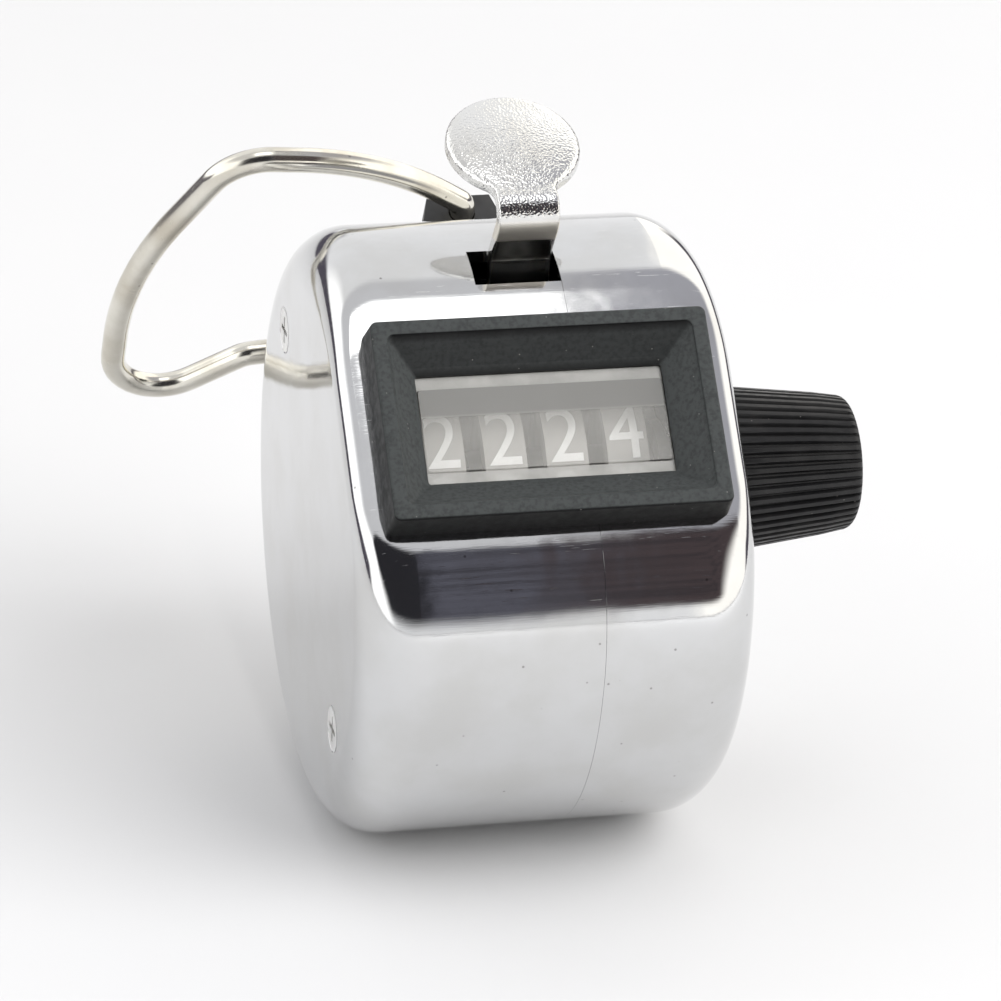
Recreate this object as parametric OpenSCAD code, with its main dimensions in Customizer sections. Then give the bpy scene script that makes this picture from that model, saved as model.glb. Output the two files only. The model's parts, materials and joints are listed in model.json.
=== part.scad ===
// Hand-held tally counter: a chromed drum with a thumb lever on top, four number wheels
// behind a sight in its front facet, a reset knob at +X and a wire ring for a finger at the back.
// The drum's axis lies along X and its middle is the origin. Angles called phi turn about that
// axis, from the front horizontal (-Y) up over the top (+Z) to the back (+Y).

/* [Drum] */
// Outer radius of the drum
drum_r = 22; // [21:0.25:24]
// Overall width of the drum
drum_w = 28.4; // [28:0.2:34]
// Radius of the rolled edges at both ends
edge_r = 4; // [3:0.25:5]
// Sheet thickness of both shells
wall = 0.8; // [0.5:0.1:1]
// Place of the seam between the shells, from mid-width
seam_x = 2.8; // [2.6:0.1:4]
// Depth of the front facet below the drum's round
facet_cut = 3.6; // [2.6:0.1:4]
// Angle of the facet's normal
facet_phi = 45; // [43:1:48]
// Radius that softens the facet's long edges
facet_soft_r = 10; // [8:0.5:11]
// Radius of the rolled edges at the facet's ends
facet_end_r = 1.4; // [1.2:0.1:1.8]
// Length of the lip with which the cover registers in the shell
lip_len = 2; // [1:0.25:3]
// Thickness of that lip
lip_t = 0.6; // [0.4:0.1:1]

/* [Bezel and window] */
// Width of the bezel where it sits on the facet
bezel_w = 24.2; // [22.5:0.1:25]
// Height of the bezel where it sits on the facet
bezel_h = 15; // [13.5:0.1:16.5]
// How far the bezel stands out from the facet
bezel_rise = 2.7; // [2:0.1:4]
// How much each side leans in over that rise
bezel_draft = 0.15; // [0.1:0.05:0.6]
// Width of the bezel's flat front rim
bezel_rim = 1.1; // [0.9:0.1:2]
// Radius of the bezel's corners
bezel_corner_r = 0.5; // [0.4:0.1:1.4]
// Chamfer round the bezel's front
bezel_chamfer = 0.15; // [0.1:0.05:0.5]
// Width of the sight
sight_w = 17.6; // [16.5:0.1:18]
// Height of the sight
sight_h = 8; // [7:0.1:8.5]
// Depth of the straight sill at the bottom of the funnel
sill = 0.3; // [0.2:0.1:0.6]
// Thickness of the window pane
window_t = 1; // [0.6:0.1:1.4]
// How far the pane reaches under the sill on each side
window_lap = 0.8; // [0.5:0.1:1]
// Wall of the skirt that holds the pane
skirt_t = 0.8; // [0.5:0.1:1]
// Depth of the skirt behind the facet
skirt_depth = 2; // [1.7:0.1:2.2]

/* [Number wheels] */
// Distance of the wheel shaft from the drum's axis, towards the facet
shaft_d = 8; // [7.6:0.1:8.2]
// Radius of the wheel shaft
shaft_r = 1.5; // [1.2:0.05:1.6]
// Radius of the number bands
wheel_r = 7.6; // [7:0.1:7.8]
// Spacing of the wheels along the shaft
wheel_pitch = 4.4; // [4.3:0.05:4.5]
// Width of a number band
band_w = 3; // [2.6:0.05:3.05]
// Place of the middle of the four bands
stack_x = -0.2; // [-0.4:0.05:0]
// Thickness of a wheel's rim
rim_t = 1.2; // [0.8:0.1:1.6]
// Thickness of a wheel's web
web_t = 1.2; // [0.8:0.1:1.6]
// Tip radius of the ratchets
ratchet_r = 3.1; // [3.05:0.05:3.5]
// Depth of the ratchet teeth
tooth_depth = 0.8; // [0.5:0.05:0.9]
// Extra depth of the one deep notch that passes the count on
carry_depth = 0.3; // [0.1:0.05:0.35]
// Teeth on a ratchet, one for each digit
ratchet_teeth = 10; // [10]

/* [Reset knob] */
// Radius of the knob at the drum
knob_base_r = 6; // [5.5:0.1:7]
// Radius of the knob at its tip
knob_tip_r = 4.9; // [4:0.1:5.4]
// Length of the knob
knob_len = 9.4; // [8:0.2:12]
// Gap between the drum and the knob
knob_gap = 0.8; // [0.6:0.1:1.2]
// Ribs round the knob
knob_ribs = 48; // [24:2:60]
// Depth of the grooves between the ribs
rib_depth = 0.35; // [0.2:0.05:0.5]
// Chamfer at the knob's tip
knob_chamfer = 0.7; // [0.4:0.1:1]
// How far the shaft goes into the knob
knob_bore_len = 7.4; // [5:0.2:7.6]

/* [Thumb lever] */
// Place of the lever along the drum
lever_x = 0.3; // [0.1:0.1:0.5]
// Width of the lever's strip
lever_w = 4.4; // [4:0.1:4.5]
// Thickness of the lever's strip
lever_t = 1; // [0.8:0.05:1.1]
// Depth at which the neck passes through the slot
neck_y = -2.2; // [-2.4:0.1:-2]
// Height at which the arm turns up into the neck
arm_bend_z = 17.6; // [17.4:0.1:18]
// Height at which the neck leans forward
neck_top_z = 21.6; // [21.4:0.1:22]
// Depth of the crease, the foremost fold, where the neck meets the paddle's slope
crease_y = -5.2; // [-5.4:0.1:-4.8]
// Depth of the paddle's middle
paddle_y = 1; // [0:0.25:2]
// Height of the paddle's middle
paddle_z = 28.5; // [28.2:0.1:29]
// Diameter of the paddle
paddle_dia = 9.6; // [8.8:0.2:12]
// Thickness of the paddle
paddle_t = 1; // [0.8:0.05:1.2]
// Rise of the paddle's dome
paddle_dome = 0.4; // [0.2:0.05:0.6]
// Slope of the paddle
paddle_slope = 24; // [20:1:28]
// Width of the lever slot, up to the seam
slot_w = 6.2; // [5.8:0.1:7]
// Length of the lever slot
slot_len = 3.3; // [3.3:0.1:4.2]
// Gap behind the neck in the slot
slot_clear = 0.15; // [0.1:0.05:0.2]

/* [Pawl and springs] */
// Depth of the pawl's pin
pawl_y = 1.2; // [0.9:0.1:1.5]
// Height of the pawl's pin
pawl_z = 14.6; // [14.4:0.1:14.9]
// Radius of the pawl's pin
pawl_pin_r = 0.7; // [0.5:0.05:0.75]
// Wall of the pawl's hub and of the lever's ears round the pin
pawl_wall = 0.6; // [0.5:0.05:0.65]
// Thickness of the lever's ears
ear_t = 0.8; // [0.6:0.1:0.9]
// Width of the pawl's and the detent's fingers
finger_w = 0.8; // [0.5:0.05:0.9]
// Thickness of the pawl's fingers
pawl_t = 0.8; // [0.6:0.05:0.9]
// Free distance of the fingers from the ratchet tips
finger_clear = 0.3; // [0.2:0.05:0.4]
// Lever travel before the pawl is nearest to the ratchets
pawl_lead = 4; // [3.5:0.25:5]
// Mean radius of the return spring
spring_r = 1.1; // [0.9:0.05:1.15]
// Wire of the return spring
spring_wire = 0.5; // [0.4:0.05:0.6]
// Turns of the return spring
spring_turns = 5; // [4:0.5:6]
// Depth of the return spring
spring_y = 5; // [4.6:0.1:5.4]
// Thickness of the leaf springs
leaf_t = 0.25; // [0.15:0.05:0.3]

/* [Chassis and fastenings] */
// Thickness of the chassis sheet
chassis_t = 0.8; // [0.6:0.1:1]
// Width of the side plates' arms
arm_w = 6; // [5.5:0.1:6.5]
// Radius of the side plates round the shaft
boss_r = 3.9; // [3.5:0.1:4.5]
// Radius at which both pillars stand
pillar_ring_r = 15.3; // [15:0.1:15.5]
// Angle of the upper pillar
upper_phi = 129; // [127:1:131]
// Angle of the lower pillar
lower_phi = -42; // [-45:1:-40]
// Radius of the pillars
pillar_r = 2; // [1.8:0.05:2.1]
// Radius of the screws' shanks
screw_r = 1; // [0.8:0.05:1.1]
// Radius of the screw heads
screw_head_r = 1.65; // [1.5:0.05:1.9]
// Length of the cross recess in the screw heads
cross_len = 2; // [1.6:0.1:2.4]
// Width and depth of that recess
cross_w = 0.35; // [0.25:0.05:0.5]
// Length of the screws
screw_len = 7; // [5:0.5:9]
// Wall of the sleeves beside the lever
spacer_wall = 0.8; // [0.5:0.1:0.9]
// Wall of the bush in the cover
bush_wall = 1.1; // [0.8:0.1:1.4]
// Running clearance of shafts, pins and pillars in their bores
run_clear = 0.05; // [0.03:0.01:0.08]
// Side play between parts that turn beside each other
side_play = 0.2; // [0.15:0.05:0.25]

/* [Finger ring] */
// Angle of the lug
lug_phi = 150; // [147:1:153]
// Place of the lug along the drum
lug_x = 1; // [0.8:0.1:1.2]
// Distance of the ring's pivot from the drum's surface
pivot_rise = 3; // [2.8:0.1:3.6]
// Width of the lug at the drum
lug_w = 7.4; // [6.4:0.1:8]
// Length of the lug along the pivot
lug_len = 9.8; // [8.6:0.2:10]
// Radius of the lug round the pivot
lug_top_r = 2; // [1.7:0.05:2.2]
// Radius of the ring's wire
wire_r = 0.93; // [0.7:0.05:1]
// How far each end of the wire goes into the lug
wire_grip = 2.8; // [2:0.2:3.6]
// Reach of the ring from its pivot
ring_reach = 25.2; // [24:0.2:28]
// Height of the ring's upper corner above the middle of the lug
ring_top = 12.3; // [12:0.1:13.4]
// Depth of the ring's lower corner below the middle of the lug
ring_low = 18.1; // [17:0.1:18.6]
// How far the ring's outer side leans in to its upper corner
ring_lean = 7.2; // [6:0.2:9]
// Reach of the ring's shoulders, where its arms bend away from the lug
ring_shoulder = 6.8; // [6:0.1:7.2]

/* [Hidden] */
$fn = 96;

chrome = [0.82, 0.83, 0.85];
steel = [0.62, 0.63, 0.65];
black = [0.09, 0.09, 0.1];
wheel_grey = [0.2, 0.2, 0.21];
brass = [0.72, 0.58, 0.3];
clear_pane = [0.8, 0.85, 0.88, 0.4];

// Overlap of cutting shapes past the faces that they cut
over = 1;
// Gap of parts that are pushed or clipped together
snug = 0.03;
// Gap of seated covers and panes
seat_gap = 0.1;

// The lip runs round the underside only, clear of the slot, the lug and the bezel
lip_turn = 170;
lip_root = 1;

// Share of its radius by which the roll of a facet's end reaches the end face
end_share = 0.96;

half_w = drum_w / 2;
inner_half = half_w - wall;
inner_r = drum_r - wall;
facet_d = drum_r - facet_cut;

// A point at radius r and angle phi, as depth and height
function polar(r, phi) = [-r * cos(phi), r * sin(phi)];
function unit(v) = v / norm(v);
function turned(v, a) = [v[0] * cos(a) - v[1] * sin(a), v[0] * sin(a) + v[1] * cos(a)];

shaft_at = polar(shaft_d, facet_phi);
upper_at = polar(pillar_ring_r, upper_phi);
lower_at = polar(pillar_ring_r, lower_phi);

// Planes that soften one long edge of the facet
soft_steps = 3;
soft_u = facet_d - facet_soft_r;
soft_v = sqrt(pow(drum_r - facet_soft_r, 2) - soft_u * soft_u);
soft_turn = atan2(soft_v, soft_u);

window_w = sight_w + 2 * window_lap;
window_h = sight_h + 2 * window_lap;
skirt_w = window_w + 2 * skirt_t;
skirt_h = window_h + 2 * skirt_t;

slot_back = neck_y + lever_t / 2 + slot_clear;

wheel_count = 4;
ratchet_w = wheel_pitch - band_w - side_play;
ratchet_root = ratchet_r - tooth_depth;
function wheel_x(i) = stack_x + (i - (wheel_count - 1) / 2) * wheel_pitch;
function gap_x(i) = wheel_x(i) + wheel_pitch / 2;
stack_left = wheel_x(0) - band_w / 2;
stack_right = wheel_x(wheel_count - 1) + band_w / 2 + ratchet_w;

washer_room = 0.5;
plate_left = stack_left - side_play - chassis_t;
plate_right = stack_right + washer_room;
clip_t = 0.5;
clip_wall = 1.2;

bush_r = shaft_r + run_clear + bush_wall;
bush_flange = 1.2;
bush_flange_t = 0.8;
knob_x = half_w + knob_gap;

// The lever turns on the upper pillar with a rolled eye
eye_r = pillar_r + run_clear + lever_t;
eye_mid = pillar_r + run_clear + lever_t / 2;
arm_bend = [neck_y, arm_bend_z];
arm_dir = unit(arm_bend - upper_at);
arm_start = upper_at + eye_mid * turned(arm_dir, -90);
slope_dir = [cos(paddle_slope), sin(paddle_slope)];
paddle_at = [paddle_y, paddle_z];
crease_at = paddle_at + (crease_y - paddle_y) / slope_dir[0] * slope_dir;
lever_path = [
  arm_start, arm_bend, [neck_y, neck_top_z], crease_at, paddle_at - paddle_dia / 4 * slope_dir
];
// Bend radii at the points of that path
lever_bends = [0, 1.6, 1.6, 1.3, 0];

// The pawl's finger tips pass the ratchets on a circle round the lever's pivot
pawl_at = [pawl_y, pawl_z];
pawl_hub_r = pawl_pin_r + run_clear + pawl_wall;
tip_reach = norm(shaft_at - upper_at) - ratchet_r - finger_clear;
pawl_tip = upper_at + tip_reach * turned(unit(shaft_at - upper_at), -pawl_lead);
comb_bar = 0.9;
comb_drop = 1.1;
comb_turn = 27;
comb_at = pawl_at + turned([0, -(pawl_hub_r + comb_drop)], comb_turn);
leaf_gap = 0.4;

web_span = 4.6;
rear_web_z = 8.4;
front_web_d = 10.6;
front_web_at = shaft_at + front_web_d * unit(lower_at - shaft_at);
front_web_turn = atan2((lower_at - shaft_at)[1], (lower_at - shaft_at)[0]);
detent_tip_turn = 14;

pivot_r = drum_r + pivot_rise;
lug_foot_w = 3.8;
lug_foot_len = 6;
lug_flange_t = 0.9;
lug_flange_out = 1.2;

// Height of the lever's arm above a depth y
arm_slope = (arm_bend[1] - arm_start[1]) / (arm_bend[0] - arm_start[0]);
function arm_z(y) = arm_start[1] + (y - arm_start[0]) * arm_slope;
arm_half = lever_t / 2 / cos(atan(arm_slope));

// A path with each inner corner replaced by an arc of its own radius
function corner(a, b, c, r, steps) =
  let (
    u = unit(a - b),
    w = unit(c - b),
    half = acos(max(-1, min(1, u * w))) / 2,
    reach = r / tan(half),
    middle = b + unit(u + w) * (r / sin(half)),
    first = b + u * reach - middle,
    side = u[0] * w[1] - u[1] * w[0] > 0 ? -1 : 1
  )
  [for (i = [0:steps]) middle + turned(first, side * (180 - 2 * half) * i / steps)];
function rounded(path, radii, steps) = [
  for (i = [0:len(path) - 1])
    let (is_corner = i > 0 && i < len(path) - 1 && radii[i] > 0)
    each is_corner ? corner(path[i - 1], path[i], path[i + 1], radii[i], steps) : [path[i]]
];

// Direction and mitred offset along a path
function heading(path, i) =
  let (last = len(path) - 1)
  i == 0 ? unit(path[1] - path[0])
  : i == last ? unit(path[last] - path[last - 1])
  : unit(unit(path[i] - path[i - 1]) + unit(path[i + 1] - path[i]));
function mitre(path, i) =
  i == 0 || i == len(path) - 1 ? 1 : 1 / max(0.3, heading(path, i) * unit(path[i + 1] - path[i]));
function side_points(path, off) = [
  for (i = [0:len(path) - 1]) path[i] + turned(heading(path, i), 90) * off * mitre(path, i)
];
function reversed(list) = [for (i = [len(list) - 1:-1:0]) list[i]];
function ribbon(path, t) = concat(side_points(path, t / 2), reversed(side_points(path, -t / 2)));

// A flat outline in depth and height, made thick from x0 to x1
module slab(x0, x1) {
  translate([x0, 0, 0]) rotate([90, 0, 90]) linear_extrude(x1 - x0) children();
}

// A round rod along X through a point given as depth and height
module rod(at, x0, x1, r) {
  translate([x0, at[0], at[1]]) rotate([0, 90, 0]) cylinder(h = x1 - x0, r = r);
}

// A tube along X
module tube(at, x0, x1, r_in, r_out) {
  difference() {
    rod(at, x0, x1, r_out);
    rod(at, x0 - over, x1 + over, r_in);
  }
}

// A frame at angle phi: X along the drum, Y along its surface, Z straight out
module at_phi(phi) {
  rotate([90 - phi, 0, 0]) children();
}

module box_at(low, high) {
  translate(low) cube(high - low);
}

// The facet and the narrow planes that soften its long edges, as turns from the facet's normal
function soft_angle(i) = soft_turn * i / (soft_steps + 0.5);
function soft_dist(i) =
  let (a = abs(soft_angle(i)))
  i == 0 ? facet_d : soft_u * cos(a) + soft_v * sin(a) + facet_soft_r;
// Where the planes i and i + 1 meet, along the facet and out from the axis
function soft_edge(i, inset) =
  let (
    a = soft_angle(i),
    b = soft_angle(i + 1),
    da = soft_dist(i) - inset,
    db = soft_dist(i + 1) - inset
  )
  [da * cos(b) - db * cos(a), db * sin(a) - da * sin(b)] / sin(a - b);
function facet_outline(inset) =
  let (
    far = 2 * drum_r,
    edges = [for (i = [-soft_steps:soft_steps - 1]) soft_edge(i, inset)],
    a = soft_angle(soft_steps),
    low_far = edges[0] + far * [-cos(a), -sin(a)],
    high_far = edges[len(edges) - 1] + far * [cos(a), -sin(a)]
  )
  concat([low_far], edges, [high_far], [[far, -far], [-far, -far]]);

// The facet as seen along its height, with both ends rolled over into the drum's end faces
module facet_ends(inset) {
  far = 2 * drum_r;
  end_r = facet_end_r - inset;
  end_x = half_w - inset - end_share * end_r;
  end_z = facet_d - inset - end_r;
  translate([-end_x, -far]) square([2 * end_x, far + end_z + end_r]);
  translate([-far, -far]) square([2 * far, far + end_z]);
  for (x = [-end_x, end_x]) translate([x, end_z]) circle(end_r);
}

// The drum's full form, drawn in by inset on every side
module drum_form(inset) {
  r = drum_r - inset;
  h = half_w - inset;
  e = edge_r - inset;
  intersection() {
    rotate([0, 90, 0]) rotate_extrude() {
      translate([0, -h]) square([r - e, 2 * h]);
      translate([0, -h + e]) square([r, 2 * (h - e)]);
      translate([r - e, h - e]) circle(e);
      translate([r - e, e - h]) circle(e);
    }
    at_phi(facet_phi) slab(-drum_w, drum_w) polygon(facet_outline(inset));
    at_phi(facet_phi) rotate([90, 0, 0]) linear_extrude(4 * drum_r, center = true) facet_ends(inset);
  }
}

module drum_skin() {
  difference() {
    drum_form(0);
    drum_form(wall);
    at_phi(facet_phi) translate([0, 0, facet_d])
      cube([skirt_w + 2 * seat_gap, skirt_h + 2 * seat_gap, 4 * wall], center = true);
  }
}

module screw_places() {
  for (at = [upper_at, lower_at]) translate([-half_w, at[0], at[1]]) rotate([0, 90, 0]) children();
}

module left_shell() {
  color(chrome) difference() {
    drum_skin();
    box_at([seam_x, -drum_w, -drum_w], [drum_w, drum_w, drum_w]);
    box_at([seam_x - slot_w, slot_back - slot_len, drum_r / 2], [drum_w, slot_back, drum_w]);
    at_phi(lug_phi)
      box_at(
        [seam_x - lug_foot_w, -lug_foot_len / 2, drum_r - 3 * wall],
        [drum_w, lug_foot_len / 2, drum_r + 3 * wall]
      );
    screw_places() translate([0, 0, -over]) cylinder(h = wall + 2 * over, r = screw_r + seat_gap);
    screw_places()
      translate([0, 0, -over])
        cylinder(h = wall + over, r1 = screw_head_r + seat_gap + over, r2 = screw_head_r + seat_gap - wall);
  }
}

module right_cover() {
  lip_r = inner_r - seat_gap / 2;
  color(chrome) {
    difference() {
      drum_skin();
      box_at([-drum_w, -drum_w, -drum_w], [seam_x, drum_w, drum_w]);
      rod(shaft_at, inner_half - over, half_w + over, bush_r + snug);
    }
    rotate([0, 90, 0]) rotate([0, 0, -lip_turn / 2]) rotate_extrude(angle = lip_turn)
      polygon([
        [lip_r - lip_t, seam_x - lip_len], [lip_r, seam_x - lip_len],
        [lip_r, seam_x + seat_gap], [inner_r + wall / 2, seam_x + seat_gap],
        [inner_r + wall / 2, seam_x + lip_root], [lip_r - lip_t, seam_x + lip_root]
      ]);
  }
}

module case_screws() {
  head_h = wall - seat_gap / 2;
  color(steel) screw_places() difference() {
    union() {
      cylinder(h = head_h, r1 = screw_head_r, r2 = screw_head_r - head_h);
      cylinder(h = screw_len, r = screw_r - snug);
    }
    for (a = [0, 90]) rotate(a) cube([cross_len, cross_w, 2 * cross_w], center = true);
  }
}

module pillar(at) {
  difference() {
    rod(at, -inner_half, inner_half, pillar_r);
    rod(at, -inner_half - over, screw_len - half_w + over / 2, screw_r);
  }
}

module upper_pillar() {
  color(steel) pillar(upper_at);
}

module lower_pillar() {
  color(steel) pillar(lower_at);
}

// Four thin discs at the corners of a rectangle with round corners
module corner_discs(size, r, t) {
  for (x = [-1, 1]) for (y = [-1, 1])
    translate([x * (size[0] / 2 - r), y * (size[1] / 2 - r), 0]) cylinder(h = t, r = r, $fn = 32);
}

// A block with four round corners that leans from one size to another
module leaning_block(size_low, size_high, h, r) {
  slice = h / 100;
  hull() {
    corner_discs(size_low, r, slice);
    translate([0, 0, h - slice]) corner_discs(size_high, r, slice);
  }
}

// A box that stands centred on the origin, from height z0 to z1
module centred_box(size, z0, z1) {
  translate([-size[0] / 2, -size[1] / 2, z0]) cube([size[0], size[1], z1 - z0]);
}

module bezel() {
  base = [bezel_w, bezel_h];
  front = base - 2 * bezel_draft * [1, 1];
  crown = front - 2 * bezel_chamfer * [1, 1];
  mouth = front - 2 * bezel_rim * [1, 1];
  sight = [sight_w, sight_h];
  funnel_h = bezel_rise - sill;
  flank_h = bezel_rise - bezel_chamfer;
  past = 0.1;
  lean = (mouth - sight) / funnel_h * past;
  sliver = 0.001;
  color(black) at_phi(facet_phi) translate([0, 0, facet_d]) difference() {
    union() {
      leaning_block(base, front, flank_h, bezel_corner_r);
      translate([0, 0, flank_h]) leaning_block(front, crown, bezel_chamfer, bezel_corner_r);
      centred_box([skirt_w, skirt_h], -skirt_depth, sill);
    }
    hull() {
      centred_box(sight, sill, sill + sliver);
      centred_box(mouth + lean, bezel_rise + past, bezel_rise + past + sliver);
    }
    centred_box(sight, -skirt_depth - over, sill + sliver);
    centred_box([window_w, window_h], -skirt_depth - over, 0);
  }
}

// A flat pane with a raised pad that fills most of the sight
module window() {
  gap = 2 * snug;
  pad_inset = 0.9;
  pad_rise = sill * 0.6;
  color(clear_pane) at_phi(facet_phi) translate([0, 0, facet_d]) {
    centred_box([window_w - 2 * gap, window_h - 2 * gap], -window_t, 0);
    centred_box([sight_w - 2 * gap, sight_h - 2 * pad_inset], -window_t / 2, pad_rise);
  }
}

// An arm of a side plate from one boss to another
module plate_arm(a, b) {
  d = b - a;
  translate(a) rotate(atan2(d[1], d[0])) translate([0, -arm_w / 2]) square([norm(d), arm_w]);
  translate(b) circle(arm_w / 2);
}

module side_plate(x) {
  difference() {
    slab(x, x + chassis_t) {
      plate_arm(shaft_at, upper_at);
      plate_arm(shaft_at, lower_at);
      translate(shaft_at) circle(boss_r);
    }
    rod(shaft_at, x - over, x + chassis_t + over, shaft_r + run_clear);
    for (at = [upper_at, lower_at]) rod(at, x - over, x + chassis_t + over, pillar_r + snug);
  }
}

module chassis() {
  color(steel) {
    side_plate(plate_left);
    side_plate(plate_right);
    slab(plate_left, plate_right + chassis_t)
      translate([spring_y - web_span / 2, rear_web_z - chassis_t]) square([web_span, chassis_t]);
    slab(plate_left, plate_right + chassis_t)
      translate(front_web_at) rotate(front_web_turn)
        translate([0, -web_span / 2]) square([chassis_t, web_span]);
  }
}

module reset_shaft() {
  color(steel)
    rod(shaft_at, plate_left - side_play - 2 * clip_t, knob_x + knob_bore_len - seat_gap, shaft_r);
}

module shaft_clips() {
  color(steel) {
    for (x = [plate_left - side_play - clip_t, plate_right + chassis_t + side_play])
      tube(shaft_at, x, x + clip_t, shaft_r + snug, shaft_r + clip_wall);
  }
}

module wave_washer() {
  washer_t = washer_room - side_play;
  color(steel)
    tube(shaft_at, plate_right - washer_t, plate_right, shaft_r + 2 * run_clear, ratchet_root);
}

module shaft_bush() {
  color(brass) difference() {
    union() {
      rod(shaft_at, inner_half - bush_flange_t, inner_half, bush_r + bush_flange);
      rod(shaft_at, inner_half - bush_flange_t, half_w + knob_gap / 2, bush_r);
    }
    rod(shaft_at, inner_half - 2 * over, half_w + 2 * over, shaft_r + run_clear);
  }
}

// Outline of the knob's ribs, at its base: each step has a land and a groove
module rib_outline() {
  step = 360 / knob_ribs;
  land = [0.06, 0.5];
  groove = [0.62, 0.94];
  groove_r = knob_base_r - rib_depth;
  polygon([
    for (i = [0:knob_ribs - 1]) each concat(
      [for (s = land) knob_base_r * [cos(step * (i + s)), sin(step * (i + s))]],
      [for (s = groove) groove_r * [cos(step * (i + s)), sin(step * (i + s))]]
    )
  ]);
}

module reset_knob() {
  body_len = knob_len - knob_chamfer;
  color(black) translate([knob_x, shaft_at[0], shaft_at[1]]) rotate([0, 90, 0]) difference() {
    union() {
      linear_extrude(body_len, scale = knob_tip_r / knob_base_r) rib_outline();
      cylinder(h = knob_len, r1 = knob_base_r - 2 * rib_depth, r2 = knob_tip_r - knob_chamfer);
    }
    translate([0, 0, -over]) cylinder(h = knob_bore_len + over, r = shaft_r + snug);
  }
}

// A number wheel: hollow drum with a hub, and a ratchet with one deep notch beside it
module number_wheel(x) {
  b = band_w / 2;
  bore = shaft_r + run_clear;
  inner = wheel_r - rim_t;
  hub = ratchet_root;
  tooth = 360 / ratchet_teeth;
  steep_share = 0.12;
  color(wheel_grey) translate([x, shaft_at[0], shaft_at[1]]) {
    rotate([0, 90, 0]) rotate_extrude() polygon([
      [bore, -b], [hub, -b], [hub, b - web_t], [inner, b - web_t], [inner, -b],
      [wheel_r, -b], [wheel_r, b], [bore, b]
    ]);
    difference() {
      slab(b - web_t / 2, b + ratchet_w) polygon([
        for (i = [0:ratchet_teeth - 1]) for (k = [0, 1])
          let (
            deep = i == 0 ? carry_depth : 0,
            r = k == 0 ? ratchet_r : ratchet_root - deep,
            a = facet_phi + tooth * (i + steep_share * k)
          )
          polar(r, a)
      ]);
      rod([0, 0], -over, wheel_pitch, bore);
    }
  }
}

module wheel_thousands() {
  number_wheel(wheel_x(0));
}

module wheel_hundreds() {
  number_wheel(wheel_x(1));
}

module wheel_tens() {
  number_wheel(wheel_x(2));
}

module wheel_units() {
  number_wheel(wheel_x(3));
}

module thumb_lever() {
  left = lever_x - lever_w / 2;
  right = lever_x + lever_w / 2;
  color(chrome) {
    difference() {
      union() {
        slab(left, right) polygon(ribbon(rounded(lever_path, lever_bends, 5), lever_t));
        rod(upper_at, left, right, eye_r);
        for (x = [left, right - ear_t]) slab(x, x + ear_t) {
          translate(pawl_at) circle(pawl_hub_r);
          translate([pawl_y - pawl_hub_r, pawl_z]) square([2 * pawl_hub_r, arm_z(pawl_y) - pawl_z]);
        }
      }
      rod(upper_at, left - over, right + over, pillar_r + run_clear);
      rod(pawl_at, left - over, right + over, pawl_pin_r + snug);
    }
    // The paddle is a shallow dome
    dome_r = (pow(paddle_dia / 2, 2) + paddle_dome * paddle_dome) / (2 * paddle_dome);
    translate([lever_x, paddle_y, paddle_z]) rotate([paddle_slope, 0, 0]) intersection() {
      translate([0, 0, -paddle_t / 2]) cylinder(h = paddle_t + paddle_dome, r = paddle_dia / 2);
      translate([0, 0, paddle_t / 2 + paddle_dome - dome_r]) sphere(dome_r);
    }
  }
}

module pivot_spacers() {
  r_in = pillar_r + run_clear;
  left_end = plate_left + chassis_t + side_play / 2;
  right_end = plate_right - side_play / 2;
  lever_room = lever_w / 2 + side_play;
  color(brass) {
    tube(upper_at, left_end, lever_x - lever_room, r_in, r_in + spacer_wall);
    tube(upper_at, lever_x + lever_room, right_end, r_in, r_in + spacer_wall);
  }
}

module pawl_pin() {
  past_ear = 0.3;
  color(steel)
    rod(pawl_at, lever_x - lever_w / 2 - past_ear, lever_x + lever_w / 2 + past_ear, pawl_pin_r);
}

// A straight strip between two points, in depth and height
module strip(a, b, t) {
  d = b - a;
  translate(a) rotate(atan2(d[1], d[0])) translate([0, -t / 2]) square([norm(d), t]);
}

module drive_pawl() {
  left = lever_x - lever_w / 2 + ear_t + side_play;
  right = lever_x + lever_w / 2 - ear_t - side_play;
  bar_dir = unit(comb_at - pawl_at);
  color(steel) difference() {
    union() {
      slab(left, right) {
        translate(pawl_at) circle(pawl_hub_r);
        strip(pawl_at, comb_at, pawl_t);
      }
      slab(gap_x(0) - finger_w, gap_x(wheel_count - 1) + finger_w)
        strip(comb_at - bar_dir * comb_bar / 2, comb_at + bar_dir * comb_bar / 2, comb_bar);
      for (i = [0:wheel_count - 1]) slab(gap_x(i) - finger_w / 2, gap_x(i) + finger_w / 2)
        strip(comb_at, pawl_tip, pawl_t);
    }
    rod(pawl_at, left - over, right + over, pawl_pin_r + run_clear);
  }
}

module pawl_spring() {
  leaf_y = comb_at[0] + comb_bar / 2 + leaf_gap;
  right = lever_x + lever_w / 2;
  color(steel) slab(right - ear_t, right)
    translate([leaf_y, comb_at[1] - comb_bar / 2])
      square([leaf_t, arm_z(leaf_y + leaf_t) - arm_half - comb_at[1] + comb_bar / 2]);
}

module detent_comb() {
  away = unit(lower_at - shaft_at);
  tip = shaft_at + (ratchet_r + finger_clear) * turned(away, detent_tip_turn);
  root = front_web_at - away * leaf_t / 2;
  side = turned(away, 90);
  edge_margin = 0.3;
  finger_margin = 0.7;
  base_half = web_span / 2 - edge_margin;
  color(steel) {
    slab(gap_x(0) - finger_w, gap_x(wheel_count - 1) + finger_w)
      strip(root - side * base_half, root + side * base_half, leaf_t);
    for (i = [0:wheel_count - 1]) slab(gap_x(i) - finger_w / 2, gap_x(i) + finger_w / 2)
      strip(root + side * (web_span / 2 - finger_margin), tip, leaf_t);
  }
}

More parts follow.
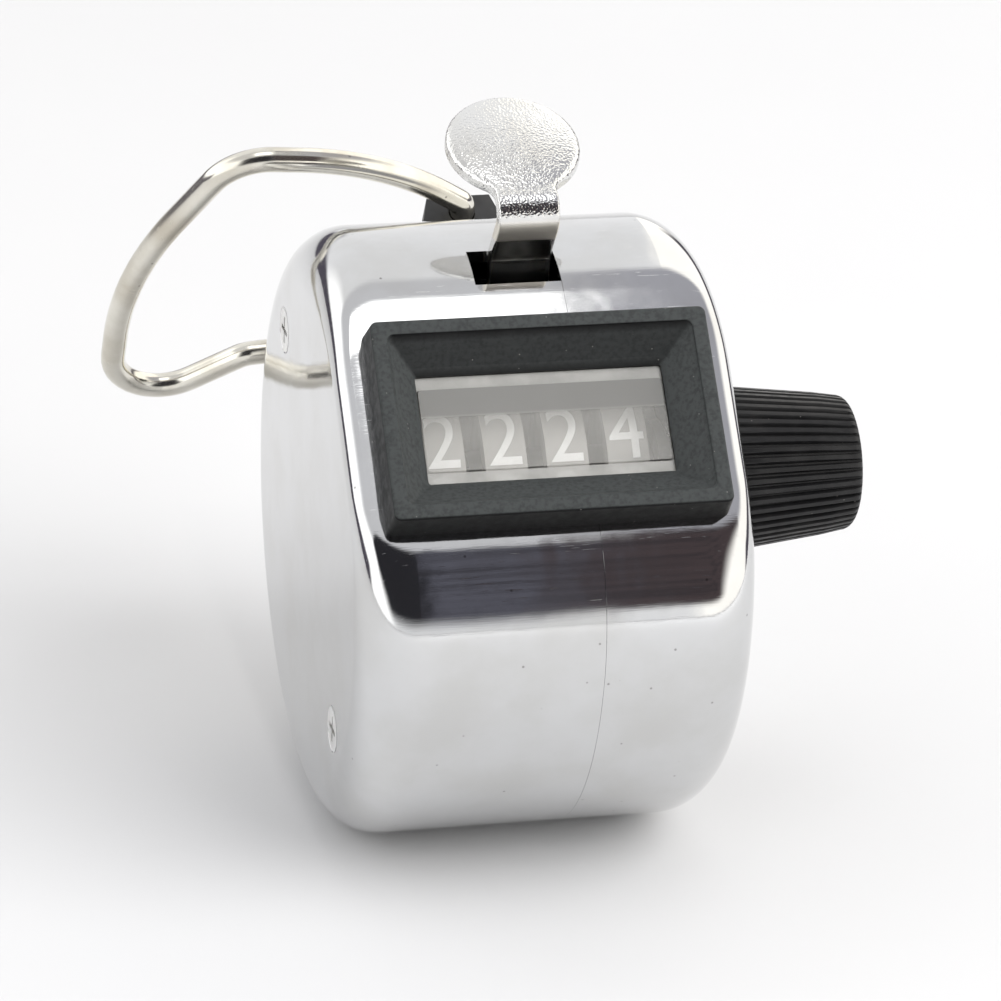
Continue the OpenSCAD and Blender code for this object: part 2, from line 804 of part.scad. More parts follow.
// A closed tube swept along a list of points, with rings set square to the path
function ring_points(p, n, b, r, sides) = [
  for (k = [0:sides - 1]) p + r * (cos(360 * k / sides) * n + sin(360 * k / sides) * b)
];
function tube_faces(rings, sides) = concat(
  [for (i = [0:rings - 2]) for (k = [0:sides - 1]) for (half = [0, 1])
    let (a = i * sides + k, b = i * sides + (k + 1) % sides)
    half == 0 ? [a, a + sides, b] : [b, a + sides, b + sides]
  ],
  [for (k = [1:sides - 2]) [0, k, k + 1]],
  [for (k = [1:sides - 2]) let (e = (rings - 1) * sides) [e, e + k + 1, e + k]]
);

module return_spring() {
  low = rear_web_z + spring_wire / 2 + seat_gap / 2;
  high = arm_z(spring_y + spring_r) - arm_half - spring_wire / 2 - seat_gap;
  per_turn = 12;
  sides = 6;
  rings = ceil(spring_turns * per_turn) + 1;
  rise = (high - low) / (rings - 1);
  points = [
    for (i = [0:rings - 1])
      let (
        a = 360 * i / per_turn,
        out = [cos(a), sin(a), 0],
        middle = [lever_x, spring_y, low + rise * i] + spring_r * out
      )
      each ring_points(middle, out, [0, 0, 1], spring_wire / 2, sides)
  ];
  color(steel) polyhedron(points, tube_faces(rings, sides));
}

module ring_lug() {
  half = lug_len / 2;
  foot_right = seam_x - seat_gap;
  foot_left = seam_x - lug_foot_w + seat_gap;
  foot_half = lug_foot_len / 2;
  flange_half = foot_half + lug_flange_out;
  flange_z = sqrt(inner_r * inner_r - flange_half * flange_half) - seat_gap;
  // Where the flanks end beside the round top, as shares of its radius
  crown_side = 1.2 * lug_top_r;
  crown_z = pivot_r + 0.85 * lug_top_r;
  color(black) at_phi(lug_phi) difference() {
    union() {
      difference() {
        translate([lug_x, half, 0]) rotate([90, 0, 0]) linear_extrude(lug_len) {
          polygon([
            [-lug_w / 2, drum_r / 2], [lug_w / 2, drum_r / 2], [lug_w / 2, drum_r],
            [crown_side, crown_z], [-crown_side, crown_z], [-lug_w / 2, drum_r]
          ]);
          translate([0, pivot_r]) circle(lug_top_r);
        }
        rotate([0, 90, 0]) cylinder(h = 2 * drum_w, r = drum_r + snug, center = true);
      }
      box_at(
        [foot_left, seat_gap - foot_half, flange_z - lug_flange_t / 2],
        [foot_right, foot_half - seat_gap, drum_r + wall]
      );
      box_at(
        [foot_left - lug_flange_out, -flange_half, flange_z - lug_flange_t],
        [foot_right, flange_half, flange_z]
      );
    }
    translate([lug_x, 0, pivot_r]) rotate([90, 0, 0])
      cylinder(h = 2 * lug_len, r = wire_r + run_clear, center = true);
  }
}

// The ring's path from its upper to its lower end: reach from the pivot, height along it
module finger_ring() {
  end_gap = 0.3;
  bend_run = 0.8;
  joint_lap = 0.2;
  // How far the hand-bent wire departs from an even frame
  upper_rise = 1;
  lower_drop = 4.1;
  lower_draw = 0.8;
  side_break = -0.7;
  knee_step = [-10.2, 7];
  end = lug_len / 2 + end_gap;
  leave = end + bend_run;
  upper_shoulder = [ring_shoulder, ring_top - upper_rise];
  lower_shoulder = [ring_shoulder - lower_draw, -leave - lower_drop];
  upper_corner = [ring_reach - ring_lean, ring_top];
  outer_middle = [ring_reach, side_break];
  lower_corner = [ring_reach, -ring_low];
  lower_knee = lower_corner + knee_step;
  path = [
    [0, end], [0, leave], upper_shoulder, upper_corner, outer_middle,
    lower_corner, lower_knee, lower_shoulder, [0, -leave], [0, -end]
  ];
  radii = [0, 1.2, 10, 2.3, 28, 4, 2.5, 6, 1.2, 0];
  bent = rounded(path, radii, 7);
  sides = 10;
  tube_r = wire_r - snug;
  points = [
    for (i = [0:len(bent) - 1])
      let (h = heading(bent, i), n = turned(h, 90) * mitre(bent, i))
      each ring_points([-bent[i][0], -bent[i][1], 0], [-n[0], -n[1], 0], [0, 0, 1], tube_r, sides)
  ];
  color(steel) at_phi(lug_phi) translate([lug_x, 0, pivot_r]) {
    polyhedron(points, tube_faces(len(bent), sides));
    for (s = [-1, 1]) rotate([s * 90, 0, 0])
      translate([0, 0, lug_len / 2 - wire_grip])
        cylinder(h = wire_grip + end_gap + joint_lap, r = wire_r);
  }
}

left_shell();
right_cover();
case_screws();
upper_pillar();
lower_pillar();
bezel();
window();
chassis();
reset_shaft();
reset_knob();
shaft_bush();
shaft_clips();
wave_washer();
wheel_thousands();
wheel_hundreds();
wheel_tens();
wheel_units();
thumb_lever();
pivot_spacers();
return_spring();
drive_pawl();
pawl_pin();
pawl_spring();
detent_comb();
ring_lug();
finger_ring();
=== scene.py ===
import json
import math

import bmesh
import bpy
from mathutils import Matrix, Vector
from mathutils.geometry import delaunay_2d_cdt


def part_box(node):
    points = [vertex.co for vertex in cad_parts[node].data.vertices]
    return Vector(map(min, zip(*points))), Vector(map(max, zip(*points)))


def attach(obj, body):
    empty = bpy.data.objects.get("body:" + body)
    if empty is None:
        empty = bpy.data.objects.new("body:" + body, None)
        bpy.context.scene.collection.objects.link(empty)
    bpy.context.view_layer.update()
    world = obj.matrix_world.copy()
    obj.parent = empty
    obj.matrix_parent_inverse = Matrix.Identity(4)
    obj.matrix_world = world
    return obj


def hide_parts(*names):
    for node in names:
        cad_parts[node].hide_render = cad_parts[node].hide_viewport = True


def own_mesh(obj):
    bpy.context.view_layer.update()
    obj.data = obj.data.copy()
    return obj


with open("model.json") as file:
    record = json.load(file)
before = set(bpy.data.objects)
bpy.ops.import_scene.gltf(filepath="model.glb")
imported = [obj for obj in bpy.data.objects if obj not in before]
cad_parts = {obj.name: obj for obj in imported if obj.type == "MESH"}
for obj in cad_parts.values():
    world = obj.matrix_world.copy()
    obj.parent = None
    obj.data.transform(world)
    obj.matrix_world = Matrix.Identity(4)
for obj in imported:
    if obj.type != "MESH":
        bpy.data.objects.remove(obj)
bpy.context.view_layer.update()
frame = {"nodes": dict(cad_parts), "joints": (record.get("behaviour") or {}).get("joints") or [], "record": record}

# Looks of a hand-held tally counter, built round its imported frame.
# Sizes are in millimetres and become metres where a mesh is made.
MM = 0.001
record = frame["record"]
joint_place = {joint["name"]: Vector(joint["pos_m"]) / MM for joint in frame["joints"]}


def box_mm(name):
    """Lowest and highest corner of a CAD node, in millimetres."""
    low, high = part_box(name)
    return Vector(low) / MM, Vector(high) / MM


# Drum, with a flat facet for the sight that faces forwards and up
shell_low, shell_high = box_mm("left_shell")
HALF_W = -shell_low.x
DRUM_R = shell_high.z
SEAM_X = shell_high.x
EDGE_R = 4
WALL = 0.8
FACET_DEG = 45
FACET_TURN = math.radians(FACET_DEG)
FACET_CUT = 3.6
FACET_D = DRUM_R - FACET_CUT
FACET_SOFT_R = 12
FACET_END_R = 1.4
FACET_UP = Vector((0, math.sin(FACET_TURN), math.cos(FACET_TURN)))
FACET_OUT = Vector((0, -math.cos(FACET_TURN), math.sin(FACET_TURN)))
SEAM_GAP = 0.01
SEAM_BEVEL = 0.016
BUSH_R = 2.68
SCREW_HEAD_R = 1.75
SCREW_SHANK_R = 0.95
LOWER_PILLAR = Vector((-11.37, -10.238))
FLOOR_Z = shell_low.z

# Bezel and pane, as widths along the drum and heights up the facet
BEZEL = (24.2, 15.0)
BEZEL_RISE = 2.7
BEZEL_DRAFT = 0.15
BEZEL_RIM = 1.1
BEZEL_CORNER_R = 0.5
FINE_CORNER_R = 0.2
SIGHT = (17.6, 8.0)
SILL = 0.3
PANE = (19.08, 9.48)
PANE_T = 1.0
PANE_PLAY = 0.12
PAD = (17.48, 6.2)
PAD_RISE = 0.18
SKIRT = (20.8, 11.2)
SKIRT_DEPTH = 2.0
SKIRT_PLAY = 0.2

# Lever, as depth and height in the plane across the drum
LEVER_X = joint_place["lever_press"].x
PIVOT = Vector(joint_place["lever_press"].yz)
PAWL_AT = Vector(joint_place["pawl_lift"].yz)
LEVER_HALF_W = 2.2
LEVER_T = 1.0
LEVER_BEND_R = (1.6, 1.6, 1.3)
EYE_BORE_R = 2.05
EYE_R = EYE_BORE_R + LEVER_T
EAR_T = 0.8
ARM_BEND = Vector((-2.2, 17.6))
NECK_TOP = Vector((-2.2, 21.6))
CREASE_Y = -5.2
PADDLE_AT = Vector((1.0, 28.5))
PADDLE_R = 4.8
PADDLE_DOME = 0.38
PADDLE_TURN = math.radians(24)
PADDLE_SLOPE = Vector((math.cos(PADDLE_TURN), math.sin(PADDLE_TURN)))
THROAT_R = 1.0
SLOT_W = 6.2
SLOT_LEFT = SEAM_X - SLOT_W
SLOT_FRONT = -4.85
SLOT_BACK = -1.55

# Heights on the lever over which its dull neck, painted paler and warmer as a reflection, starts and ends, and its
# pebbled paddle starts
NECK_FROM = (23.1, 23.5)
NECK_TO = (25.3, 24.7)
PEBBLE_FROM = (24.9, 25.5)

# Return spring under the lever's arm
SPRING_R = 1.1
SPRING_WIRE_R = 0.25
SPRING_TURNS = 5

# Knob
knob_low, knob_high = box_mm("reset_knob")
SHAFT = Vector(joint_place["reset_turn"].yz)
KNOB_BASE_R = 6.0
KNOB_TIP_R = 4.9
KNOB_RIBS = 48
RIB_DEPTH = 0.35
KNOB_CHAMFER = 0.7

# Finger ring, and the lug that it swings in
RING_PIVOT = joint_place["ring_swing"]
RING_UP = -Vector(next(joint["axis"] for joint in frame["joints"] if joint["name"] == "ring_swing"))
WIRE_R = 0.93
RING_GRIP = 2.0
LUG_LEN = 9.8
LUG_FOOT_W = 3.8
LUG_FOOT_HALF_LEN = 3
LUG_FOOT_DEPTH = 2.4
LUG_EDGE = 0.3

# Number wheels
WHEELS = ("thousands", "hundreds", "tens", "units")
SHOWN = (2, 2, 2, 4)
WHEEL_R = 7.6
DIGITS = 10
DIGIT_H = 4.15
DIGIT_STRETCH = 0.89
DIGIT_LIFT_DEG = 3.5

# How far a cutter goes past the surface that it cuts
PAST = 1
# Sides of a turned shape
ROUND_STEPS = 48
# Points closer than this become one, in metres
MERGE = 1e-7
# Along x of the studio's directions: at the photograph's angle the left shell mirrors what is
# left of this split, and the right cover what is right of it
STUDIO_SPLIT = (0.230, 0.233)


def spread(start, end, count):
    """Evenly spaced values from start up to, but not including, end."""
    return [start + (end - start) * i / count for i in range(count)]


def quarter(steps):
    """Angles over a quarter turn, with both ends."""
    return [math.pi / 2 * i / steps for i in range(steps + 1)]


def clamped(value):
    return min(1.0, max(0.0, value))


def unit2(v):
    return v / v.length


def add_object(name, data):
    """An object of the data, linked to the scene."""
    obj = bpy.data.objects.new(name, data)
    bpy.context.scene.collection.objects.link(obj)
    return obj


def new_object(name, points, faces):
    """A mesh object from points in millimetres."""
    mesh = bpy.data.meshes.new(name)
    mesh.from_pydata([Vector(point) * MM for point in points], [], faces)
    mesh.update()
    return add_object(name, mesh)


def evaluated_mesh(obj):
    """An object's mesh with its modifiers applied."""
    graph = bpy.context.evaluated_depsgraph_get()
    return bpy.data.meshes.new_from_object(obj.evaluated_get(graph))


def loft(rings, caps=True, looped=False):
    """Points and faces of a skin over closed rings of equal length."""
    count = len(rings[0])
    points = [point for ring in rings for point in ring]
    faces = []
    spans = len(rings) if looped else len(rings) - 1
    for k in range(spans):
        a = k * count
        b = (k + 1) % len(rings) * count
        for i in range(count):
            j = (i + 1) % count
            faces.append((a + i, a + j, b + j, b + i))
    if caps:
        faces.append(tuple(reversed(range(count))))
        faces.append(tuple(range((len(rings) - 1) * count, len(rings) * count)))
    return points, faces


def joined(parts):
    """Several lists of points and faces as one."""
    points, faces = [], []
    for more_points, more_faces in parts:
        first = len(points)
        points += more_points
        faces += [tuple(first + i for i in face) for face in more_faces]
    return points, faces


def shade(obj, angle):
    """Outward normals, smooth faces, and sharp edges where faces meet at more than the angle."""
    mesh = bmesh.new()
    mesh.from_mesh(obj.data)
    bmesh.ops.remove_doubles(mesh, verts=mesh.verts, dist=MERGE)
    bmesh.ops.recalc_face_normals(mesh, faces=mesh.faces)
    for face in mesh.faces:
        face.smooth = True
    for edge in mesh.edges:
        edge.smooth = edge.calc_face_angle(0) < math.radians(angle)
    mesh.to_mesh(obj.data)
    mesh.free()


def dress(obj, body, slot, nodes=(), angle=32, materials=None):
    """Gives a piece its shading and the materials of its slot, hangs it on its body, and hides the CAD nodes that
    it stands for.
    """
    shade(obj, angle)
    obj.data.materials.clear()
    for material in materials or [MATERIALS[slot]]:
        obj.data.materials.append(material)
    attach(obj, body)
    if nodes:
        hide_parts(*nodes)


def cut(obj, cutters):
    """Cuts other objects out of one, then removes them."""
    for cutter in cutters:
        modifier = obj.modifiers.new("cut", "BOOLEAN")
        modifier.operation = "DIFFERENCE"
        modifier.solver = "EXACT"
        modifier.object = cutter
    mesh = evaluated_mesh(obj)
    obj.modifiers.clear()
    obj.data = mesh
    for cutter in cutters:
        bpy.data.objects.remove(cutter)


def circle(radius, steps):
    return [(radius * math.cos(t), radius * math.sin(t)) for t in spread(0, 2 * math.pi, steps)]


def corners(low, high):
    """The four corners of a rectangle in order, from its lowest and highest values."""
    return (low[0], low[1]), (high[0], low[1]), (high[0], high[1]), (low[0], high[1])


def rod(name, at, sections):
    """A turned shape along X round a point given as depth and height; sections are (x, radius)."""
    rings = [[(x, at[0] + a, at[1] + b) for a, b in circle(r, ROUND_STEPS)] for x, r in sections]
    return new_object(name, *loft(rings))


def rounded_rect(size, r, steps=6):
    """Points of a rectangle with round corners, centred on the origin."""
    points = []
    for turn, (sx, sy) in enumerate(((1, 1), (-1, 1), (-1, -1), (1, -1))):
        for i in range(steps + 1):
            t = math.pi / 2 * (turn + i / steps)
            x = sx * (size[0] / 2 - r) + r * math.cos(t)
            y = sy * (size[1] / 2 - r) + r * math.sin(t)
            points.append((x, y))
    return points


def on_facet(x, up, out):
    """A point given along the drum, up the facet and out from it."""
    return Vector((x, 0, 0)) + FACET_UP * up + FACET_OUT * (FACET_D + out)


def facet_ring(size, r, out):
    return [on_facet(x, y, out) for x, y in rounded_rect(size, r)]


def fill_socket(tree, socket, value):
    """Links a value that is a socket, and sets one that is plain."""
    if isinstance(value, bpy.types.NodeSocket):
        tree.links.new(value, socket)
    else:
        socket.default_value = value


def node(tree, kind, inputs=None, **settings):
    """Adds a node with its settings and inputs."""
    made = tree.nodes.new(kind)
    for key, value in settings.items():
        setattr(made, key, value)
    for key, value in (inputs or {}).items():
        fill_socket(tree, made.inputs[key], value)
    return made


def maths(tree, operation, a, b):
    return node(tree, "ShaderNodeMath", {0: a, 1: b}, operation=operation).outputs[0]


def product(tree, value, *others):
    """A value times each of the others in turn."""
    for other in others:
        value = maths(tree, "MULTIPLY", value, other)
    return value


def scaled_sum(tree, value, scale, base):
    """A value times a scale, plus a base."""
    return node(tree, "ShaderNodeMath", {0: value, 1: scale, 2: base}, operation="MULTIPLY_ADD").outputs[0]


def ramp(tree, value, low, high, to_low=0.0, to_high=1.0):
    """A smooth step of a value between two limits."""
    inputs = {"Value": value, "From Min": low, "From Max": high, "To Min": to_low, "To Max": to_high}
    return node(tree, "ShaderNodeMapRange", inputs, interpolation_type="SMOOTHSTEP").outputs[0]


def noise(tree, coords, scale, detail=4.0, roughness=0.55):
    inputs = {"Vector": coords, "Scale": scale, "Detail": detail, "Roughness": roughness}
    return node(tree, "ShaderNodeTexNoise", inputs).outputs["Fac"]


def mix_colour(tree, factor, a, b):
    """Colour a where the factor is 0, and colour b where it is 1."""
    made = node(tree, "ShaderNodeMix", {0: factor, 6: a, 7: b}, data_type="RGBA")
    return made.outputs[2]


def split(tree, vector):
    """The x, y and z of a vector."""
    return node(tree, "ShaderNodeSeparateXYZ", {0: vector}).outputs


def stretched(tree, coords, scale, turn=(0, 0, 0)):
    inputs = {"Vector": coords, "Scale": scale, "Rotation": turn}
    return node(tree, "ShaderNodeMapping", inputs).outputs[0]


def new_material(name):
    """A material with its tree, its shader and object coordinates in millimetres."""
    material = bpy.data.materials.new(name)
    material.use_nodes = True
    tree = material.node_tree
    shader = next(n for n in tree.nodes if n.type == "BSDF_PRINCIPLED")
    coords = node(tree, "ShaderNodeTexCoord").outputs["Object"]
    return material, tree, shader, stretched(tree, coords, (1 / MM, 1 / MM, 1 / MM))


def add_bump(tree, shader, layers):
    """Stacks bump layers, each a height socket with its depth in millimetres."""
    normal = None
    for height, depth in layers:
        inputs = {"Height": height, "Distance": depth * MM, "Strength": 1.0}
        if normal:
            inputs["Normal"] = normal
        normal = node(tree, "ShaderNodeBump", inputs).outputs[0]
    tree.links.new(normal, shader.inputs["Normal"])


def specks(tree, coords, scale, size, share):
    """Small round spots, 1 inside, on a share of the cells."""
    cells = node(tree, "ShaderNodeTexVoronoi", {"Vector": coords, "Scale": scale})
    near = ramp(tree, cells.outputs["Distance"], size, size * 0.5)
    pick = node(tree, "ShaderNodeSeparateColor", {0: cells.outputs["Color"]}).outputs[0]
    return product(tree, near, maths(tree, "LESS_THAN", pick, share))


def chrome_material(name, colour, tint, rough, pebble=0.0):
    """Plated metal with smudges, fine scratches and pits; pebble is the depth of the lever's grain, and also gives
    the lever a rougher neck that is painted paler and warmer as a reflection.
    """
    pit_colour = (0.12, 0.11, 0.10, 1)
    neck_painted_reflection = (0.86, 0.82, 0.74, 1)
    material, tree, shader, coords = new_material(name)
    shader.inputs["Metallic"].default_value = 1.0
    smudge = noise(tree, coords, scale=0.16, detail=5.0)
    wave = noise(tree, coords, scale=0.22, detail=2.0)
    grain = noise(tree, stretched(tree, coords, (0.5, 9.0, 9.0)), scale=1.0, detail=3.0)
    slanted = stretched(tree, coords, (0.35, 14.0, 2.0), (0.3, 0.5, 0.2))
    lines = ramp(tree, noise(tree, slanted, scale=1.0, detail=2.0), 0.70, 0.74)
    pits = specks(tree, coords, scale=1.3, size=0.16, share=0.05)
    tone = mix_colour(tree, ramp(tree, smudge, 0.35, 0.7), colour, tint)
    worn = scaled_sum(tree, lines, 0.10, ramp(tree, smudge, 0.3, 0.75, rough, rough * 2.2))
    layers = [(wave, 0.018), (grain, 0.0016), (lines, 0.0012)]
    if pebble:
        level = split(tree, coords)[2]
        neck = product(tree, ramp(tree, level, *NECK_TO), ramp(tree, level, *NECK_FROM))
        # Painted reflection: the neck is painted paler and warmer, and it is also made rougher.
        tone = mix_colour(tree, neck, tone, neck_painted_reflection)
        worn = maths(tree, "MAXIMUM", worn, product(tree, neck, 0.45))
        grit = node(tree, "ShaderNodeTexVoronoi", {"Vector": coords, "Scale": 6.5}, feature="SMOOTH_F1")
        paddle = ramp(tree, level, *PEBBLE_FROM)
        layers.append((product(tree, grit.outputs["Distance"], paddle), pebble))
    pitted = mix_colour(tree, product(tree, pits, 0.55), tone, pit_colour)
    tree.links.new(pitted, shader.inputs["Base Color"])
    tree.links.new(worn, shader.inputs["Roughness"])
    add_bump(tree, shader, layers)
    return material


def plastic_material(name, colour, worn, rough, grain_depth, gloss=0.5, dust_and_top_light=None):
    """Satin moulding with fine grain, specks and worn patches; what faces up is paler, partly from settled dust
    and partly from painted light from above.
    """
    dust_colour = (0.22, 0.21, 0.20, 1)
    material, tree, shader, coords = new_material(name)
    shader.inputs["Specular IOR Level"].default_value = gloss
    patches = ramp(tree, noise(tree, coords, scale=0.45, detail=6.0), 0.42, 0.75)
    dust = specks(tree, coords, scale=2.1, size=0.13, share=0.10)
    surface = node(tree, "ShaderNodeNewGeometry").outputs
    rubbed = ramp(tree, surface["Pointiness"], 0.53, 0.62)
    wear = maths(tree, "MAXIMUM", product(tree, patches, 0.6), rubbed)
    tone = mix_colour(tree, wear, colour, worn)
    # Painted light from above, together with settled dust: what faces up is made paler in patches.
    if dust_and_top_light:
        facing = ramp(tree, split(tree, surface["Normal"])[2], -0.1, 0.5)
        patchy = ramp(tree, noise(tree, coords, scale=3.0, detail=5.0), 0.3, 0.6, 0.65, 1.0)
        tone = mix_colour(tree, product(tree, facing, patchy), tone, dust_and_top_light)
    dusty = mix_colour(tree, product(tree, dust, 0.5), tone, dust_colour)
    polish = ramp(tree, noise(tree, coords, scale=1.4, detail=4.0), 0.3, 0.7, rough - 0.07, rough + 0.08)
    tree.links.new(dusty, shader.inputs["Base Color"])
    tree.links.new(polish, shader.inputs["Roughness"])
    add_bump(tree, shader, [(noise(tree, coords, scale=9.0, detail=3.0), grain_depth), (dust, 0.01)])
    return material


def steel_material(name, colour, dark, rough):
    """Plain drawn or rolled metal with a brushed grain."""
    material, tree, shader, coords = new_material(name)
    shader.inputs["Metallic"].default_value = 1.0
    grain = noise(tree, stretched(tree, coords, (0.6, 6.0, 6.0)), scale=1.0, detail=4.0)
    stain = ramp(tree, noise(tree, coords, scale=0.3, detail=5.0), 0.4, 0.75)
    polish = ramp(tree, grain, 0.3, 0.7, rough - 0.06, rough + 0.08)
    tree.links.new(mix_colour(tree, stain, colour, dark), shader.inputs["Base Color"])
    tree.links.new(polish, shader.inputs["Roughness"])
    add_bump(tree, shader, [(grain, 0.004)])
    return material


def pane_material(name, colour, alpha, painted_shade=None):
    """Clear plastic with a haze that the wheels show through; the optional colour lays painted shade, a darker and
    nearly opaque film, over the upper part.
    """
    shade_from = (0.75, 1.15)
    shade_alpha = 0.94
    material, tree, shader, coords = new_material(name)
    film = noise(tree, coords, scale=0.5, detail=5.0)
    haze = ramp(tree, film, 0.3, 0.7, alpha * 0.9, alpha * 1.1)
    tone = mix_colour(tree, film, colour, [0.94 * part for part in colour[:3]] + [1])
    # Painted shade: a darker, nearly opaque film over the upper part of the front.
    if painted_shade:
        inputs = {0: coords, 1: FACET_UP}
        height = node(tree, "ShaderNodeVectorMath", inputs, operation="DOT_PRODUCT").outputs["Value"]
        upper = ramp(tree, height, *shade_from)
        haze = maths(tree, "MAXIMUM", haze, product(tree, upper, shade_alpha))
        tone = mix_colour(tree, upper, tone, painted_shade)
    polish = ramp(tree, noise(tree, coords, scale=2.0), 0.3, 0.7, 0.12, 0.22)
    tree.links.new(haze, shader.inputs["Alpha"])
    tree.links.new(tone, shader.inputs["Base Color"])
    tree.links.new(polish, shader.inputs["Roughness"])
    add_bump(tree, shader, [(noise(tree, coords, scale=0.4, detail=2.0), 0.02)])
    return material


def paint_material(name, colour, aged):
    """Printed numeral paint, slightly uneven."""
    material, tree, shader, coords = new_material(name)
    tone = noise(tree, coords, scale=2.2, detail=5.0)
    tree.links.new(mix_colour(tree, tone, colour, aged), shader.inputs["Base Color"])
    tree.links.new(ramp(tree, tone, 0.3, 0.7, 0.42, 0.58), shader.inputs["Roughness"])
    add_bump(tree, shader, [(noise(tree, coords, scale=6.0), 0.004)])
    return material


def paper_material(name, colour, shade_colour, rough):
    """Plain paper with faint clouds."""
    material, tree, shader, coords = new_material(name)
    clouds = noise(tree, coords, scale=0.02, detail=3.0)
    tree.links.new(mix_colour(tree, clouds, colour, shade_colour), shader.inputs["Base Color"])
    shader.inputs["Roughness"].default_value = rough
    return material


# One material for each slot of the record
MATERIALS = {
    "chrome": chrome_material("chrome", (0.66, 0.665, 0.67, 1), (0.61, 0.61, 0.605, 1), rough=0.045),
    "lever_chrome": chrome_material("lever_chrome", (0.76, 0.76, 0.75, 1), (0.68, 0.67, 0.64, 1),
                                    rough=0.10, pebble=0.035),
    "screw_steel": steel_material("screw_steel", (0.86, 0.86, 0.85, 1), (0.70, 0.69, 0.67, 1), rough=0.34),
    "ring_steel": chrome_material("ring_steel", (0.78, 0.76, 0.69, 1), (0.58, 0.54, 0.46, 1), rough=0.12),
    "inner_steel": steel_material("inner_steel", (0.48, 0.48, 0.50, 1), (0.32, 0.31, 0.30, 1), rough=0.34),
    "bush_brass": steel_material("bush_brass", (0.72, 0.55, 0.26, 1), (0.50, 0.36, 0.16, 1), rough=0.30),
    # The bezel's up-facing colour is settled dust and painted light from above.
    "bezel_plastic": plastic_material("bezel_plastic", (0.003, 0.003, 0.0033, 1),
                                      (0.008, 0.0082, 0.0082, 1), rough=0.42, grain_depth=0.006,
                                      gloss=0.12, dust_and_top_light=(0.043, 0.0465, 0.0465, 1)),
    "knob_plastic": plastic_material("knob_plastic", (0.006, 0.006, 0.0065, 1), (0.018, 0.0175, 0.0175, 1),
                                     rough=0.40, grain_depth=0.004, gloss=0.35),
    "lug_plastic": plastic_material("lug_plastic", (0.009, 0.009, 0.0095, 1), (0.024, 0.0235, 0.0235, 1),
                                    rough=0.44, grain_depth=0.006),
    "wheel_plastic": plastic_material("wheel_plastic", (0.30, 0.29, 0.275, 1), (0.37, 0.36, 0.34, 1),
                                      rough=0.50, grain_depth=0.004),
    "clear_plastic": pane_material("clear_plastic", (0.62, 0.60, 0.57, 1), alpha=0.05),
}
# The front's upper part is painted shade over the wheels.
HAZE_AND_SHADE = pane_material("hazy_front_painted_shade", (0.60, 0.59, 0.56, 1), alpha=0.29, painted_shade=(0.158, 0.156, 0.148, 1))
FROSTED = pane_material("frosted_ledge", (0.335, 0.331, 0.314, 1), alpha=0.80)
NUMERAL_PAINT = paint_material("numeral_paint", (0.92, 0.92, 0.90, 1), (0.78, 0.78, 0.76, 1))


def paint_cad_nodes():
    """Gives every CAD node the procedural material of its slot."""
    for part in record["subparts"]:
        obj = frame["nodes"][part["node"]]
        obj.data.materials.clear()
        obj.data.materials.append(MATERIALS[part["material_slot"]])


def drum_ring(x, r, d, soft):
    """The drum's closed outline at x: a circle of radius r, cut by a softened flat at distance d."""
    soft_steps = 12
    flat_steps = 24
    back_steps = 200
    middle = d - soft
    half = math.sqrt((r - soft) ** 2 - middle * middle)
    turn = math.atan2(half, middle)
    lower = [(-half - soft * math.sin(t), middle + soft * math.cos(t)) for t in spread(turn, 0, soft_steps)]
    flat = [(s, d) for s in spread(-half, half, flat_steps)]
    upper = [(half + soft * math.sin(t), middle + soft * math.cos(t)) for t in spread(0, turn, soft_steps)]
    back = [(r * math.sin(t), r * math.cos(t)) for t in spread(turn, 2 * math.pi - turn, back_steps)]
    outline = lower + flat + upper + back
    return [Vector((x, 0, 0)) + FACET_UP * up + FACET_OUT * out for up, out in outline]


def drum_half(inset, side, seam):
    """Rings of one drum half from the seam to its end face, drawn in by inset."""
    straight_steps = 6
    roll_steps = 24
    rim = 0.3
    edge_r = EDGE_R - inset
    reach = HALF_W - inset
    end_r = FACET_END_R - inset
    r = DRUM_R - inset
    d = FACET_D - inset
    soft = FACET_SOFT_R - inset
    straight_end = side * (reach - edge_r)
    bevel_x = seam + side * SEAM_BEVEL
    rings = [drum_ring(seam, r - SEAM_BEVEL, d - SEAM_BEVEL, soft)] if inset == 0 else []
    rings += [drum_ring(x, r, d, soft) for x in spread(bevel_x, straight_end, straight_steps)]
    for t in quarter(roll_steps):
        out = reach - edge_r + edge_r * math.sin(t)
        past = max(0.0, out - (reach - end_r))
        sink = end_r - math.sqrt(max(0.0, end_r * end_r - past * past))
        rings.append(drum_ring(side * out, r - edge_r + edge_r * math.cos(t), d - sink, soft))
    rings.append(drum_ring(side * reach, r - edge_r - rim, d - end_r - rim, soft))
    return rings


def drum_shell(name, side):
    """One half of the drum as a thin cup."""
    seam = SEAM_X + side * SEAM_GAP / 2
    outer = drum_half(0, side, seam)
    inner = drum_half(WALL, side, seam - side * SEAM_BEVEL)
    return new_object(name, *loft(inner[::-1] + outer))


def sight_cutter():
    """A block for the opening in the facet that takes the bezel's skirt."""
    corner_r = 0.3
    depth = 3
    rise = 2
    size = [width + SKIRT_PLAY for width in SKIRT]
    rings = [facet_ring(size, corner_r, out) for out in (-depth, rise)]
    return new_object("sight", *loft(rings))


def slot_cutter():
    """A block for the slot in the top of the drum that the lever's neck goes through."""
    headroom = 5
    outline = corners((SLOT_LEFT, SLOT_FRONT), (SEAM_X + PAST, SLOT_BACK))
    rings = [[(x, y, z) for x, y in outline] for z in (DRUM_R / 2, DRUM_R + headroom)]
    return new_object("slot", *loft(rings))


def lug_point(x, along, out):
    """A point at the lug: along the drum, down its back and out from its axis."""
    outward = (RING_PIVOT - Vector((RING_PIVOT.x, 0, 0))).normalized()
    return Vector((x, 0, 0)) - RING_UP * along + outward * out


